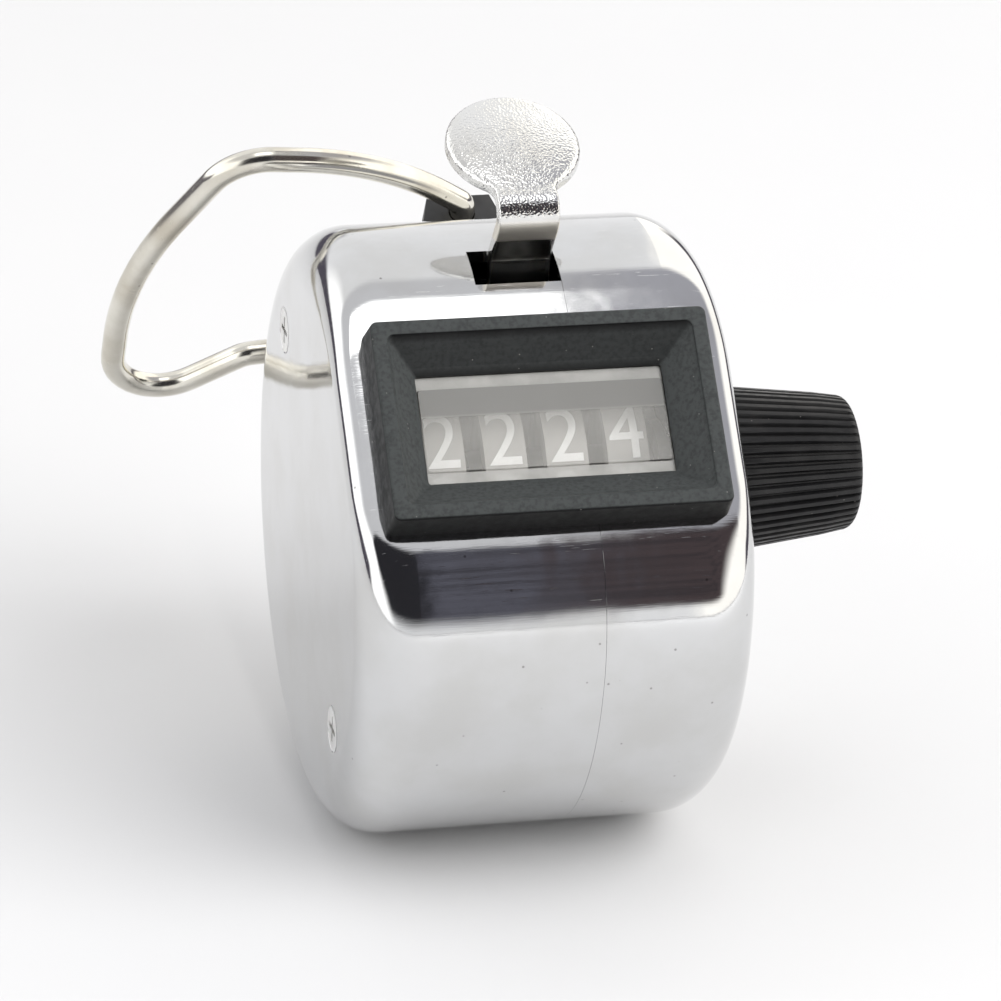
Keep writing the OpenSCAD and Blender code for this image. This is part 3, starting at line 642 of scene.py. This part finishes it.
def notch_cutter():
    """A block for the notch at the seam that takes the lug's foot."""
    outline = corners((SEAM_X - LUG_FOOT_W, -LUG_FOOT_HALF_LEN), (SEAM_X + PAST, LUG_FOOT_HALF_LEN))
    levels = (DRUM_R - LUG_FOOT_DEPTH, DRUM_R + LUG_FOOT_DEPTH)
    rings = [[lug_point(x, along, out) for x, along in outline] for out in levels]
    return new_object("notch", *loft(rings))


def screw_cutter(at):
    """A countersunk hole in the left face."""
    face = -HALF_W
    depth = 2
    sections = ((face - PAST, SCREW_HEAD_R + PAST), (face + WALL, SCREW_HEAD_R - WALL),
                (face + depth, SCREW_SHANK_R))
    return rod("hole", at, sections)


def build_left_shell():
    """The deep drum half, with the lever's slot, the lug's notch and the screw holes."""
    shell = drum_shell("drum_left", -1)
    holes = [screw_cutter(at) for at in (PIVOT, LOWER_PILLAR)]
    cut(shell, [slot_cutter(), sight_cutter(), notch_cutter(), *holes])
    dress(shell, "case", "chrome", ["left_shell"])


def build_right_cover():
    """The shallow drum half, with the bore for the shaft's bush."""
    cover = drum_shell("drum_right", 1)
    bore_reach = 2
    bore = rod("bore", SHAFT, ((HALF_W - bore_reach, BUSH_R), (HALF_W + bore_reach, BUSH_R)))
    cut(cover, [sight_cutter(), bore])
    dress(cover, "case", "chrome", ["right_cover"])


def funnel_sections(mouth, lip):
    """Sections of the funnel from its mouth down to the sight, with a fine step at each ledge."""
    ledges = 5
    step = 0.05
    step_rise = step * 0.4
    step_r = 0.3
    sections = []
    for i in range(1, ledges + 1):
        share = i / ledges
        size = [m + (s - m) * share for m, s in zip(mouth, SIGHT)]
        out = BEZEL_RISE - lip + (SILL - BEZEL_RISE + lip) * share
        if i < ledges:
            sections.append(([width + 2 * step for width in size], step_r, out + step_rise))
        sections.append((size, FINE_CORNER_R, out))
    return sections


def bezel_rings():
    """Rings of the bezel's section: up the flank, over the rim, down the funnel and round the skirt."""
    foot = 0.12
    edge = 0.22
    lip = 0.14
    seat = 0.02
    front = [width - 2 * BEZEL_DRAFT for width in BEZEL]
    mouth = [width - 2 * BEZEL_RIM for width in front]
    pocket = [width + PANE_PLAY for width in PANE]
    sections = [(BEZEL, BEZEL_CORNER_R, out) for out in (0.0, foot)]
    for t in quarter(6):
        pull = edge * (1 - math.cos(t))
        size = [width - 2 * pull for width in front]
        sections.append((size, BEZEL_CORNER_R, BEZEL_RISE - edge + edge * math.sin(t)))
    for t in quarter(4):
        size = [width + 2 * lip * (1 - math.sin(t)) for width in mouth]
        sections.append((size, BEZEL_CORNER_R, BEZEL_RISE - lip * (1 - math.cos(t))))
    sections += funnel_sections(mouth, lip)
    inside = ((SIGHT, seat), (pocket, seat), (pocket, -SKIRT_DEPTH), (SKIRT, -SKIRT_DEPTH), (SKIRT, 0.0))
    sections += [(size, FINE_CORNER_R, out) for size, out in inside]
    return [facet_ring(*section) for section in sections]


def build_bezel():
    """The black frame round the sight."""
    bezel = new_object("bezel_frame", *loft(bezel_rings(), caps=False, looped=True))
    dress(bezel, "case", "bezel_plastic", ["bezel"], angle=24)


def build_pane():
    """The pane, with a hazy front to its raised pad whose upper part is painted shade, and frosted ledges above
    and below it.
    """
    bevel = 0.06
    near = 0.01
    shoulder = [width - 2 * bevel for width in PANE]
    top = [width - 2 * bevel for width in PAD]
    stack = [(shoulder, -PANE_T), (PANE, bevel - PANE_T), (PANE, -bevel), (shoulder, 0.0),
             (PAD, 0.0), (PAD, PAD_RISE - bevel), (top, PAD_RISE)]
    pane = new_object("window_pane", *loft([facet_ring(size, FINE_CORNER_R, out) for size, out in stack]))
    materials = [MATERIALS["clear_plastic"], HAZE_AND_SHADE, FROSTED]
    dress(pane, "case", "clear_plastic", ["window"], angle=24, materials=materials)
    for face in pane.data.polygons:
        out = (face.center / MM).dot(FACET_OUT) - FACET_D
        if abs(out - PAD_RISE) < near:
            face.material_index = materials.index(HAZE_AND_SHADE)
        elif abs(out) < near:
            face.material_index = materials.index(FROSTED)


def rounded_path(points, radii, steps):
    """A flat path with each inner corner replaced by an arc of its own radius."""
    path = [points[0]]
    for before, at, after, radius in zip(points, points[1:], points[2:], radii):
        back = unit2(before - at)
        ahead = unit2(after - at)
        half = back.angle(ahead) / 2
        centre = at + unit2(back + ahead) * (radius / math.sin(half))
        first = at + back * (radius / math.tan(half)) - centre
        side = -1 if back.x * ahead.y - back.y * ahead.x > 0 else 1
        sweep = side * (math.pi - 2 * half)
        path += [centre + Matrix.Rotation(sweep * i / steps, 2) @ first for i in range(steps + 1)]
    return path + [points[-1]]


class Track:
    """A flat path that gives the place and the heading at a distance along it."""

    def __init__(self, points):
        self.points = points
        self.marks = [0.0]
        for a, b in zip(points, points[1:]):
            self.marks.append(self.marks[-1] + (b - a).length)
        self.length = self.marks[-1]
        spans = [unit2(b - a) for a, b in zip(points, points[1:])]
        inner = [unit2(a + b) for a, b in zip(spans, spans[1:])]
        self.headings = [spans[0], *inner, spans[-1]]

    def at(self, distance):
        last = len(self.marks) - 2
        k = min(last, max(0, sum(mark <= distance for mark in self.marks) - 1))
        share = (distance - self.marks[k]) / (self.marks[k + 1] - self.marks[k])
        place = self.points[k].lerp(self.points[k + 1], share)
        return place, unit2(self.headings[k].lerp(self.headings[k + 1], share))


def lever_track():
    """The middle of the lever's sheet, from the eye over the neck to the paddle's far edge."""
    arm = unit2(ARM_BEND - PIVOT)
    start = PIVOT + Vector((arm.y, -arm.x)) * (EYE_BORE_R + LEVER_T / 2)
    crease = PADDLE_AT + PADDLE_SLOPE * ((CREASE_Y - PADDLE_AT.x) / PADDLE_SLOPE.x)
    points = [start, ARM_BEND, NECK_TOP, crease, PADDLE_AT + PADDLE_SLOPE * PADDLE_R]
    return Track(rounded_path(points, LEVER_BEND_R, steps=12))


def lever_outline(length):
    """The flat blank of the lever: a strip that widens through two throats into a disc."""
    pace = 0.22
    throat_steps = 6
    rim_steps = 56
    disc = length - PADDLE_R
    throat_v = LEVER_HALF_W + THROAT_R
    throat_u = disc - math.sqrt((PADDLE_R + THROAT_R) ** 2 - throat_v ** 2)
    meet = math.atan2(throat_v, disc - throat_u)
    side = [(u, LEVER_HALF_W) for u in spread(0, throat_u, int(throat_u / pace))]
    throat = [(throat_u + THROAT_R * math.sin(t), throat_v - THROAT_R * math.cos(t))
              for t in spread(0, math.pi / 2 - meet, throat_steps)]
    rim = [(disc - PADDLE_R * math.cos(t), PADDLE_R * math.sin(t))
           for t in spread(meet, math.pi, rim_steps)]
    half = side + throat + rim
    return [(u, -v) for u, v in half] + [(length, 0.0)] + [(u, v) for u, v in reversed(half)]


def inset_outline(outline, distances):
    """The outline with each point moved inwards by its own distance."""
    count = len(outline)
    moved = []
    for i, (u, v) in enumerate(outline):
        before = Vector(outline[i - 1])
        after = Vector(outline[(i + 1) % count])
        along = unit2(after - before)
        moved.append((u - along.y * distances[i], v + along.x * distances[i]))
    return moved


def lever_edge(outline, disc):
    """Rings of the sheet's edge from its top face to its under face, with a fuller roll at the paddle."""
    edge = 0.18
    paddle_roll = 0.5
    paddle_drop = 0.22
    under = 0.15
    roll_from = 5.4
    roll_over = 2.0
    shares = [clamped((u - disc + roll_from) / roll_over) for u, v in outline]
    rolls = [edge + paddle_roll * share for share in shares]
    drops = [edge + paddle_drop * share for share in shares]
    rings = []
    for t in quarter(6):
        ring = inset_outline(outline, [roll * (1 - math.sin(t)) for roll in rolls])
        heights = [LEVER_T / 2 - drop * (1 - math.cos(t)) for drop in drops]
        rings.append([(u, v, height) for (u, v), height in zip(ring, heights)])
    for t in quarter(3):
        ring = inset_outline(outline, [under * (1 - math.cos(t))] * len(outline))
        rings.append([(u, v, under * (1 - math.sin(t)) - LEVER_T / 2) for u, v in ring])
    return rings


def lever_face(ring, height, length):
    """Points and triangles of one face of the sheet inside its ring, fine enough to bend."""
    pace = 0.3
    across = round(PADDLE_R / pace)
    strip_margin = 0.4
    disc_margin = 0.95
    near = 1e-6
    disc = length - PADDLE_R
    fill = [Vector(point[:2]) for point in ring]
    for i in range(1, int(length / pace)):
        for k in range(-across, across + 1):
            u = i * pace
            v = k * pace
            in_strip = abs(v) < LEVER_HALF_W - strip_margin and strip_margin < u < disc
            in_disc = math.hypot(u - disc, v) < PADDLE_R - disc_margin
            if in_strip or in_disc:
                fill.append(Vector((u, v)))
    border = [(i, (i + 1) % len(ring)) for i in range(len(ring))]
    made, _, triangles, _, _, _ = delaunay_2d_cdt(fill, border, [], 1, near)
    return [(p.x, p.y, height) for p in made], triangles


def lever_sheet():
    """The stamped and bent lever sheet, with a rolled rim round a domed paddle."""
    track = lever_track()
    disc = track.length - PADDLE_R
    rings = lever_edge(lever_outline(track.length), disc)
    top = lever_face(rings[0], LEVER_T / 2, track.length)
    under = lever_face(rings[-1], -LEVER_T / 2, track.length)

    def bent(u, v, h):
        place, heading = track.at(u)
        off = math.hypot(u - disc, v) / PADDLE_R
        rise = h + PADDLE_DOME * max(0.0, 1 - off * off)
        spot = place + Vector((-heading.y, heading.x)) * rise
        return (LEVER_X + v, spot.x, spot.y)

    points, faces = joined([loft(rings, caps=False), top, under])
    return [bent(*point) for point in points], faces


def lever_ear(x0, x1):
    """One ear under the arm that carries the pawl's pin."""
    hub = 1.35
    top = 16.3
    slant = 0.6
    outline = [(PAWL_AT.x + hub * math.cos(t), PAWL_AT.y + hub * math.sin(t))
               for t in spread(math.pi, 2 * math.pi, 16)]
    outline += [(PAWL_AT.x + hub, PAWL_AT.y), (PAWL_AT.x + hub, top - slant), (PAWL_AT.x - hub, top)]
    return loft([[(x, y, z) for y, z in outline] for x in (x0, x1)])


def lever_eye(x0, x1):
    """The rolled eye on the upper pillar, a tube along X with broken edges."""
    bevel = 0.1
    section = ((x0, EYE_BORE_R + bevel), (x0, EYE_R - bevel), (x0 + bevel, EYE_R), (x1 - bevel, EYE_R),
               (x1, EYE_R - bevel), (x1, EYE_BORE_R + bevel), (x1 - bevel, EYE_BORE_R),
               (x0 + bevel, EYE_BORE_R))
    rings = [[(x, PIVOT.x + a, PIVOT.y + b) for a, b in circle(r, ROUND_STEPS)] for x, r in section]
    return loft(rings, caps=False, looped=True)


def build_lever():
    """The thumb lever: a bent sheet with an eye and two ears."""
    left = LEVER_X - LEVER_HALF_W
    right = LEVER_X + LEVER_HALF_W
    ears = [lever_ear(left, left + EAR_T), lever_ear(right - EAR_T, right)]
    lever = new_object("lever_stamping", *joined([lever_sheet(), lever_eye(left, right), *ears]))
    dress(lever, "lever", "lever_chrome", ["thumb_lever"], angle=40)


def build_return_spring():
    """The coil between the chassis and the lever's arm."""
    per_turn = 24
    wire_steps = 12
    low, high = box_mm("return_spring")
    depth = (low.y + high.y) / 2
    rise = high.z - low.z - 2 * SPRING_WIRE_R
    spans = SPRING_TURNS * per_turn
    rings = []
    for i in range(spans + 1):
        t = 2 * math.pi * i / per_turn
        out = Vector((math.cos(t), math.sin(t), 0))
        middle = Vector((LEVER_X, depth, low.z + SPRING_WIRE_R + rise * i / spans)) + out * SPRING_R
        rings.append([middle + out * a + Vector((0, 0, b)) for a, b in circle(SPRING_WIRE_R, wire_steps)])
    coil = new_object("return_coil", *loft(rings))
    dress(coil, "case", "inner_steel", ["return_spring"], angle=50)
    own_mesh(coil)


def rib_drop(share):
    """Depth below the land, from 0 to 1, at a share of one rib's pitch."""
    flanks = ((0.44, 0.62), (0.98, 0.84))
    low = min(clamped((share - top) / (foot - top)) for top, foot in flanks)
    return low * low * (3 - 2 * low)


def knob_stations():
    """Places along the knob, each with the largest radius that its rounded ends allow there."""
    foot = 0.25
    foot_share = 0.3
    straight_steps = 5
    end_ring = 1.2
    end_middle_r = 1.0
    x0, x1 = knob_low.x, knob_high.x
    stations = [(x0, KNOB_BASE_R - foot), (x0 + foot * foot_share, KNOB_BASE_R - foot * foot_share)]
    stations += [(x, math.inf) for x in spread(x0 + foot, x1 - KNOB_CHAMFER, straight_steps)]
    for t in quarter(8):
        x = x1 - KNOB_CHAMFER * (1 - math.sin(t))
        stations.append((x, KNOB_TIP_R - KNOB_CHAMFER * (1 - math.cos(t))))
    return stations + [(x1, KNOB_TIP_R - end_ring), (x1, end_middle_r)]


def build_knob():
    """The tapered knob, with ribs that run out through its rounded end."""
    per_rib = 12
    count = KNOB_RIBS * per_rib
    turns = spread(0, 2 * math.pi, count)
    drops = [RIB_DEPTH * rib_drop(i % per_rib / per_rib) for i in range(count)]
    x0, x1 = knob_low.x, knob_high.x
    rings = []
    for x, limit in knob_stations():
        land = KNOB_BASE_R + (KNOB_TIP_R - KNOB_BASE_R) * (x - x0) / (x1 - x0)
        radii = [min(land - drop, limit) for drop in drops]
        places = [(SHAFT.x + r * math.cos(t), SHAFT.y + r * math.sin(t)) for r, t in zip(radii, turns)]
        rings.append([(x, y, z) for y, z in places])
    knob = new_object("knob_grip", *loft(rings))
    dress(knob, "reset", "knob_plastic", ["reset_knob"], angle=50)


def ring_path():
    """The bent wire from its upper to its lower end: reach from the pivot, height along it."""
    lug_gap = 0.3
    bend_room = 0.8
    lower_slant = 4.1
    leave = LUG_LEN / 2 + lug_gap + bend_room
    bend_r = (1.2, 22, 4.5, 28, 4, 2.5, 6, 1.2)
    points = [(0, RING_GRIP), (0, leave), (6.8, 11.3), (18.0, 12.3), (25.2, -0.7), (25.2, -18.1),
              (15.0, -11.1), (6.0, -leave - lower_slant), (0, -leave), (0, -RING_GRIP)]
    return rounded_path([Vector(point) for point in points], bend_r, steps=14)


def build_ring():
    """The finger ring, a wire along its path."""
    wire_steps = 28
    track = Track(ring_path())
    across = Vector((1, 0, 0)).cross(RING_UP)
    rings = []
    for place, heading in zip(track.points, track.headings):
        middle = RING_PIVOT - Vector((place.x, 0, 0)) + RING_UP * place.y
        side = Vector((heading.y, 0, 0)) + RING_UP * heading.x
        rings.append([middle + side * a + across * b for a, b in circle(WIRE_R, wire_steps)])
    wire = new_object("ring_wire", *loft(rings))
    dress(wire, "ring", "ring_steel", ["finger_ring"], angle=40)


def softened(name, cad_node, width):
    """A copy of a CAD node's mesh with its sharp edges broken."""
    flat = math.radians(1)
    sharp = math.radians(35)
    mesh = bmesh.new()
    mesh.from_mesh(frame["nodes"][cad_node].data)
    bmesh.ops.remove_doubles(mesh, verts=mesh.verts, dist=MERGE)
    bmesh.ops.dissolve_limit(mesh, angle_limit=flat, verts=mesh.verts, edges=mesh.edges)
    edges = [e for e in mesh.edges if len(e.link_faces) == 2 and e.calc_face_angle(0) > sharp]
    bmesh.ops.bevel(mesh, geom=edges, offset=width * MM, segments=3, profile=0.5, affect="EDGES",
                    clamp_overlap=True)
    made = bpy.data.meshes.new(name)
    mesh.to_mesh(made)
    mesh.free()
    return add_object(name, made)


def build_lug():
    """The black lug at the back."""
    lug = softened("lug_block", "ring_lug", LUG_EDGE)
    dress(lug, "case", "lug_plastic", ["ring_lug"])


def numeral(value):
    """A flat numeral's mesh in millimetres, centred, with cuts across it so that it can bend."""
    thickness = 0.03
    cuts = 13
    first_cut = 0.2
    curve = bpy.data.curves.new("numeral", "FONT")
    curve.body = str(value)
    curve.align_x = "CENTER"
    curve.extrude = thickness
    text = add_object("numeral", curve)
    flat = evaluated_mesh(text)
    bpy.data.objects.remove(text)
    mesh = bmesh.new()
    mesh.from_mesh(flat)
    ys = [v.co.y for v in mesh.verts]
    scale = DIGIT_H / (max(ys) - min(ys))
    for v in mesh.verts:
        v.co.y = (v.co.y - (max(ys) + min(ys)) / 2) * scale
        v.co.x *= scale * DIGIT_STRETCH
    xs = [v.co.x for v in mesh.verts]
    for v in mesh.verts:
        v.co.x -= (max(xs) + min(xs)) / 2
    for level in spread(-DIGIT_H / 2 + first_cut, DIGIT_H / 2, cuts):
        geom = [*mesh.verts, *mesh.edges, *mesh.faces]
        bmesh.ops.bisect_plane(mesh, geom=geom, plane_co=(0, level, 0), plane_no=(0, 1, 0))
    bmesh.ops.triangulate(mesh, faces=mesh.faces)
    mesh.verts.index_update()
    return mesh


def on_wheel(middle, turn, point):
    """A flat numeral's point, bent round the wheel with the given middle, at a turn round it."""
    turn += point.y / WHEEL_R
    r = WHEEL_R + point.z
    return middle + point.x, SHAFT.x - r * math.cos(turn), SHAFT.y + r * math.sin(turn)


def build_numerals():
    """Ten printed numerals round each wheel, with the shown count in the sight."""
    sight_turn = math.radians(FACET_DEG + DIGIT_LIFT_DEG)
    step = 2 * math.pi / DIGITS
    flats = [numeral(value) for value in range(DIGITS)]
    for wheel, shown in zip(WHEELS, SHOWN):
        parts = []
        middle = joint_place["count_" + wheel].x
        for value, flat in enumerate(flats):
            turn = sight_turn - (value - shown) * step
            points = [on_wheel(middle, turn, v.co) for v in flat.verts]
            parts.append((points, [tuple(v.index for v in face.verts) for face in flat.faces]))
        obj = new_object("numerals_" + wheel, *joined(parts))
        dress(obj, wheel, "wheel_plastic", materials=[NUMERAL_PAINT])
    for flat in flats:
        flat.free()


def build_floor():
    """A wide pale floor under the drum."""
    half = 3000
    outline = corners((-half, -half), (half, half))
    floor = new_object("floor", [(x, y, FLOOR_Z) for x, y in outline], [(0, 1, 2, 3)])
    paper = paper_material("floor_paper", (0.63, 0.63, 0.635, 1), (0.61, 0.61, 0.615, 1), rough=0.85)
    floor.data.materials.append(paper)


def low_strip(tree, x, y, z):
    """Where the studio's dark low strip is: near the horizon, at the sides and behind."""
    level = product(tree, ramp(tree, z, 0.22, 0.13), ramp(tree, z, -0.05, -0.02))
    beside = maths(tree, "MAXIMUM", ramp(tree, x, 0.10, 0.0), ramp(tree, x, 0.35, 0.50))
    return product(tree, level, ramp(tree, y, -0.30, -0.15), beside)


def doorway(tree, x, y, z, shell, cover):
    """Where the studio's dark doorway is: in front, wider and with a harder foot right of the split."""
    widening = 0.06
    reach = scaled_sum(tree, cover, widening, product(tree, y, -1.0))
    foot = ramp(tree, z, 0.09, 0.19)
    soft_foot = product(tree, shell, ramp(tree, z, -0.03, 0.20))
    sides = product(tree, ramp(tree, x, 0.62, 0.42), ramp(tree, x, -0.62, -0.42))
    return product(tree, ramp(tree, reach, 0.53, 0.58), maths(tree, "MAXIMUM", foot, soft_foot), sides)


def doorway_colour(tree, direction, x, cover):
    """The doorway's darkness: palest just left of the split, brownish right of it, and streaked."""
    deep = (0.03, 0.03, 0.035, 1)
    edge = (0.13, 0.13, 0.16, 1)
    right = (0.085, 0.065, 0.068, 1)
    streak = (0.035, 0.033, 0.038, 1)
    streaks = noise(tree, stretched(tree, direction, (14.0, 14.0, 34.0)), scale=1.0, detail=3.0)
    colour = mix_colour(tree, ramp(tree, x, 0.1925, 0.1885), edge, deep)
    colour = mix_colour(tree, cover, colour, right)
    return mix_colour(tree, ramp(tree, streaks, 0.45, 0.65, 0.0, 0.6), colour, streak)


def soft_box(tree, x, y, z, shell):
    """Where the studio's bright soft box is: overhead and a little in front, left of the split."""
    across = product(tree, shell, ramp(tree, x, -0.20, -0.13))
    along = product(tree, ramp(tree, y, -0.385, -0.36), ramp(tree, y, 0.06, -0.01), ramp(tree, z, 0.4, 0.5))
    return product(tree, across, along)


def build_world():
    """A plain studio, coloured by direction: x is to the right, y to the back and z up."""
    front_wall = (1.05, 1.05, 1.06, 1)
    left_wall = (1.75, 1.75, 1.75, 1)
    right_wall = (1.58, 1.54, 1.46, 1)
    left_ceiling = (0.78, 0.78, 0.80, 1)
    right_ceiling = (0.50, 0.50, 0.54, 1)
    box_white = (2.6, 2.6, 2.6, 1)
    strip_dark = (0.11, 0.10, 0.125, 1)
    world = bpy.data.worlds.new("studio")
    bpy.context.scene.world = world
    world.use_nodes = True
    tree = world.node_tree
    background = next(n for n in tree.nodes if n.type == "BACKGROUND")
    direction = node(tree, "ShaderNodeTexCoord").outputs["Generated"]
    x, y, z = split(tree, direction)
    cover = ramp(tree, x, *STUDIO_SPLIT)
    shell = ramp(tree, x, *reversed(STUDIO_SPLIT))
    ceiling = mix_colour(tree, cover, left_ceiling, right_ceiling)
    high = product(tree, ramp(tree, z, 0.60, 0.80), ramp(tree, y, 0.36, 0.26))
    dark = doorway_colour(tree, direction, x, cover)
    colour = mix_colour(tree, ramp(tree, x, -0.35, -0.60), front_wall, left_wall)
    colour = mix_colour(tree, ramp(tree, x, 0.259, 0.266), colour, right_wall)
    colour = mix_colour(tree, high, colour, ceiling)
    colour = mix_colour(tree, doorway(tree, x, y, z, shell, cover), colour, dark)
    colour = mix_colour(tree, soft_box(tree, x, y, z, shell), colour, box_white)
    colour = mix_colour(tree, low_strip(tree, x, y, z), colour, strip_dark)
    tree.links.new(colour, background.inputs["Color"])


def place_lamp(lamp, place, facing):
    """Puts a lamp at a place in metres, where it lights but isn't mirrored."""
    obj = add_object(lamp.name, lamp)
    obj.location = place
    obj.rotation_euler = facing.to_track_quat("-Z", "Y").to_euler()
    obj.visible_glossy = False


def area_light(name, at, size, power):
    """A soft lamp that faces the object."""
    lamp = bpy.data.lights.new(name, "AREA")
    lamp.size = size * MM
    lamp.energy = power
    place = Vector(at) * MM
    place_lamp(lamp, place, -place)


def spot_light(name, target, away, cone, power):
    """A narrow lamp that shines on one place from a direction and a distance."""
    bulb = 20
    lamp = bpy.data.lights.new(name, "SPOT")
    lamp.energy = power
    lamp.spot_size = math.radians(cone)
    lamp.spot_blend = 0.4
    lamp.shadow_soft_size = bulb * MM
    place_lamp(lamp, (target + away) * MM, -away)


def build_lights():
    """A large key, a small fill, and a narrow lamp on the sight."""
    sight_lamp_away = 330
    area_light("key", (520, -560, 640), size=850, power=11.0)
    area_light("front_fill", (-350, -650, 420), size=300, power=0.2)
    spot_light("sight_lamp", on_facet(0, 0, 0), FACET_OUT * sight_lamp_away, cone=3.6, power=2.5)


def build_camera():
    """The camera at the photograph's viewing angle."""
    azimuth = math.radians(-13.66)
    elevation = math.radians(24.11)
    roll = math.radians(2.26)
    distance = 342.82
    camera = bpy.data.cameras.new("camera")
    camera.sensor_width = 36
    camera.lens = 169.16
    camera.shift_x = 0.0035
    camera.shift_y = 0.0202
    camera.clip_start = 0.01
    level = math.cos(elevation)
    toward = Vector((math.sin(azimuth) * level, -math.cos(azimuth) * level, math.sin(elevation)))
    look = (-toward).to_track_quat("-Z", "Y").to_matrix().to_4x4()
    obj = add_object("camera", camera)
    obj.matrix_world = Matrix.Translation(toward * distance * MM) @ look @ Matrix.Rotation(roll, 4, "Z")
    bpy.context.scene.camera = obj


build_camera()
build_world()
build_lights()
build_floor()
paint_cad_nodes()
build_left_shell()
build_right_cover()
build_bezel()
build_pane()
build_lever()
build_return_spring()
build_knob()
build_ring()
build_lug()
build_numerals()
bpy.context.scene.view_settings.view_transform = "Standard"
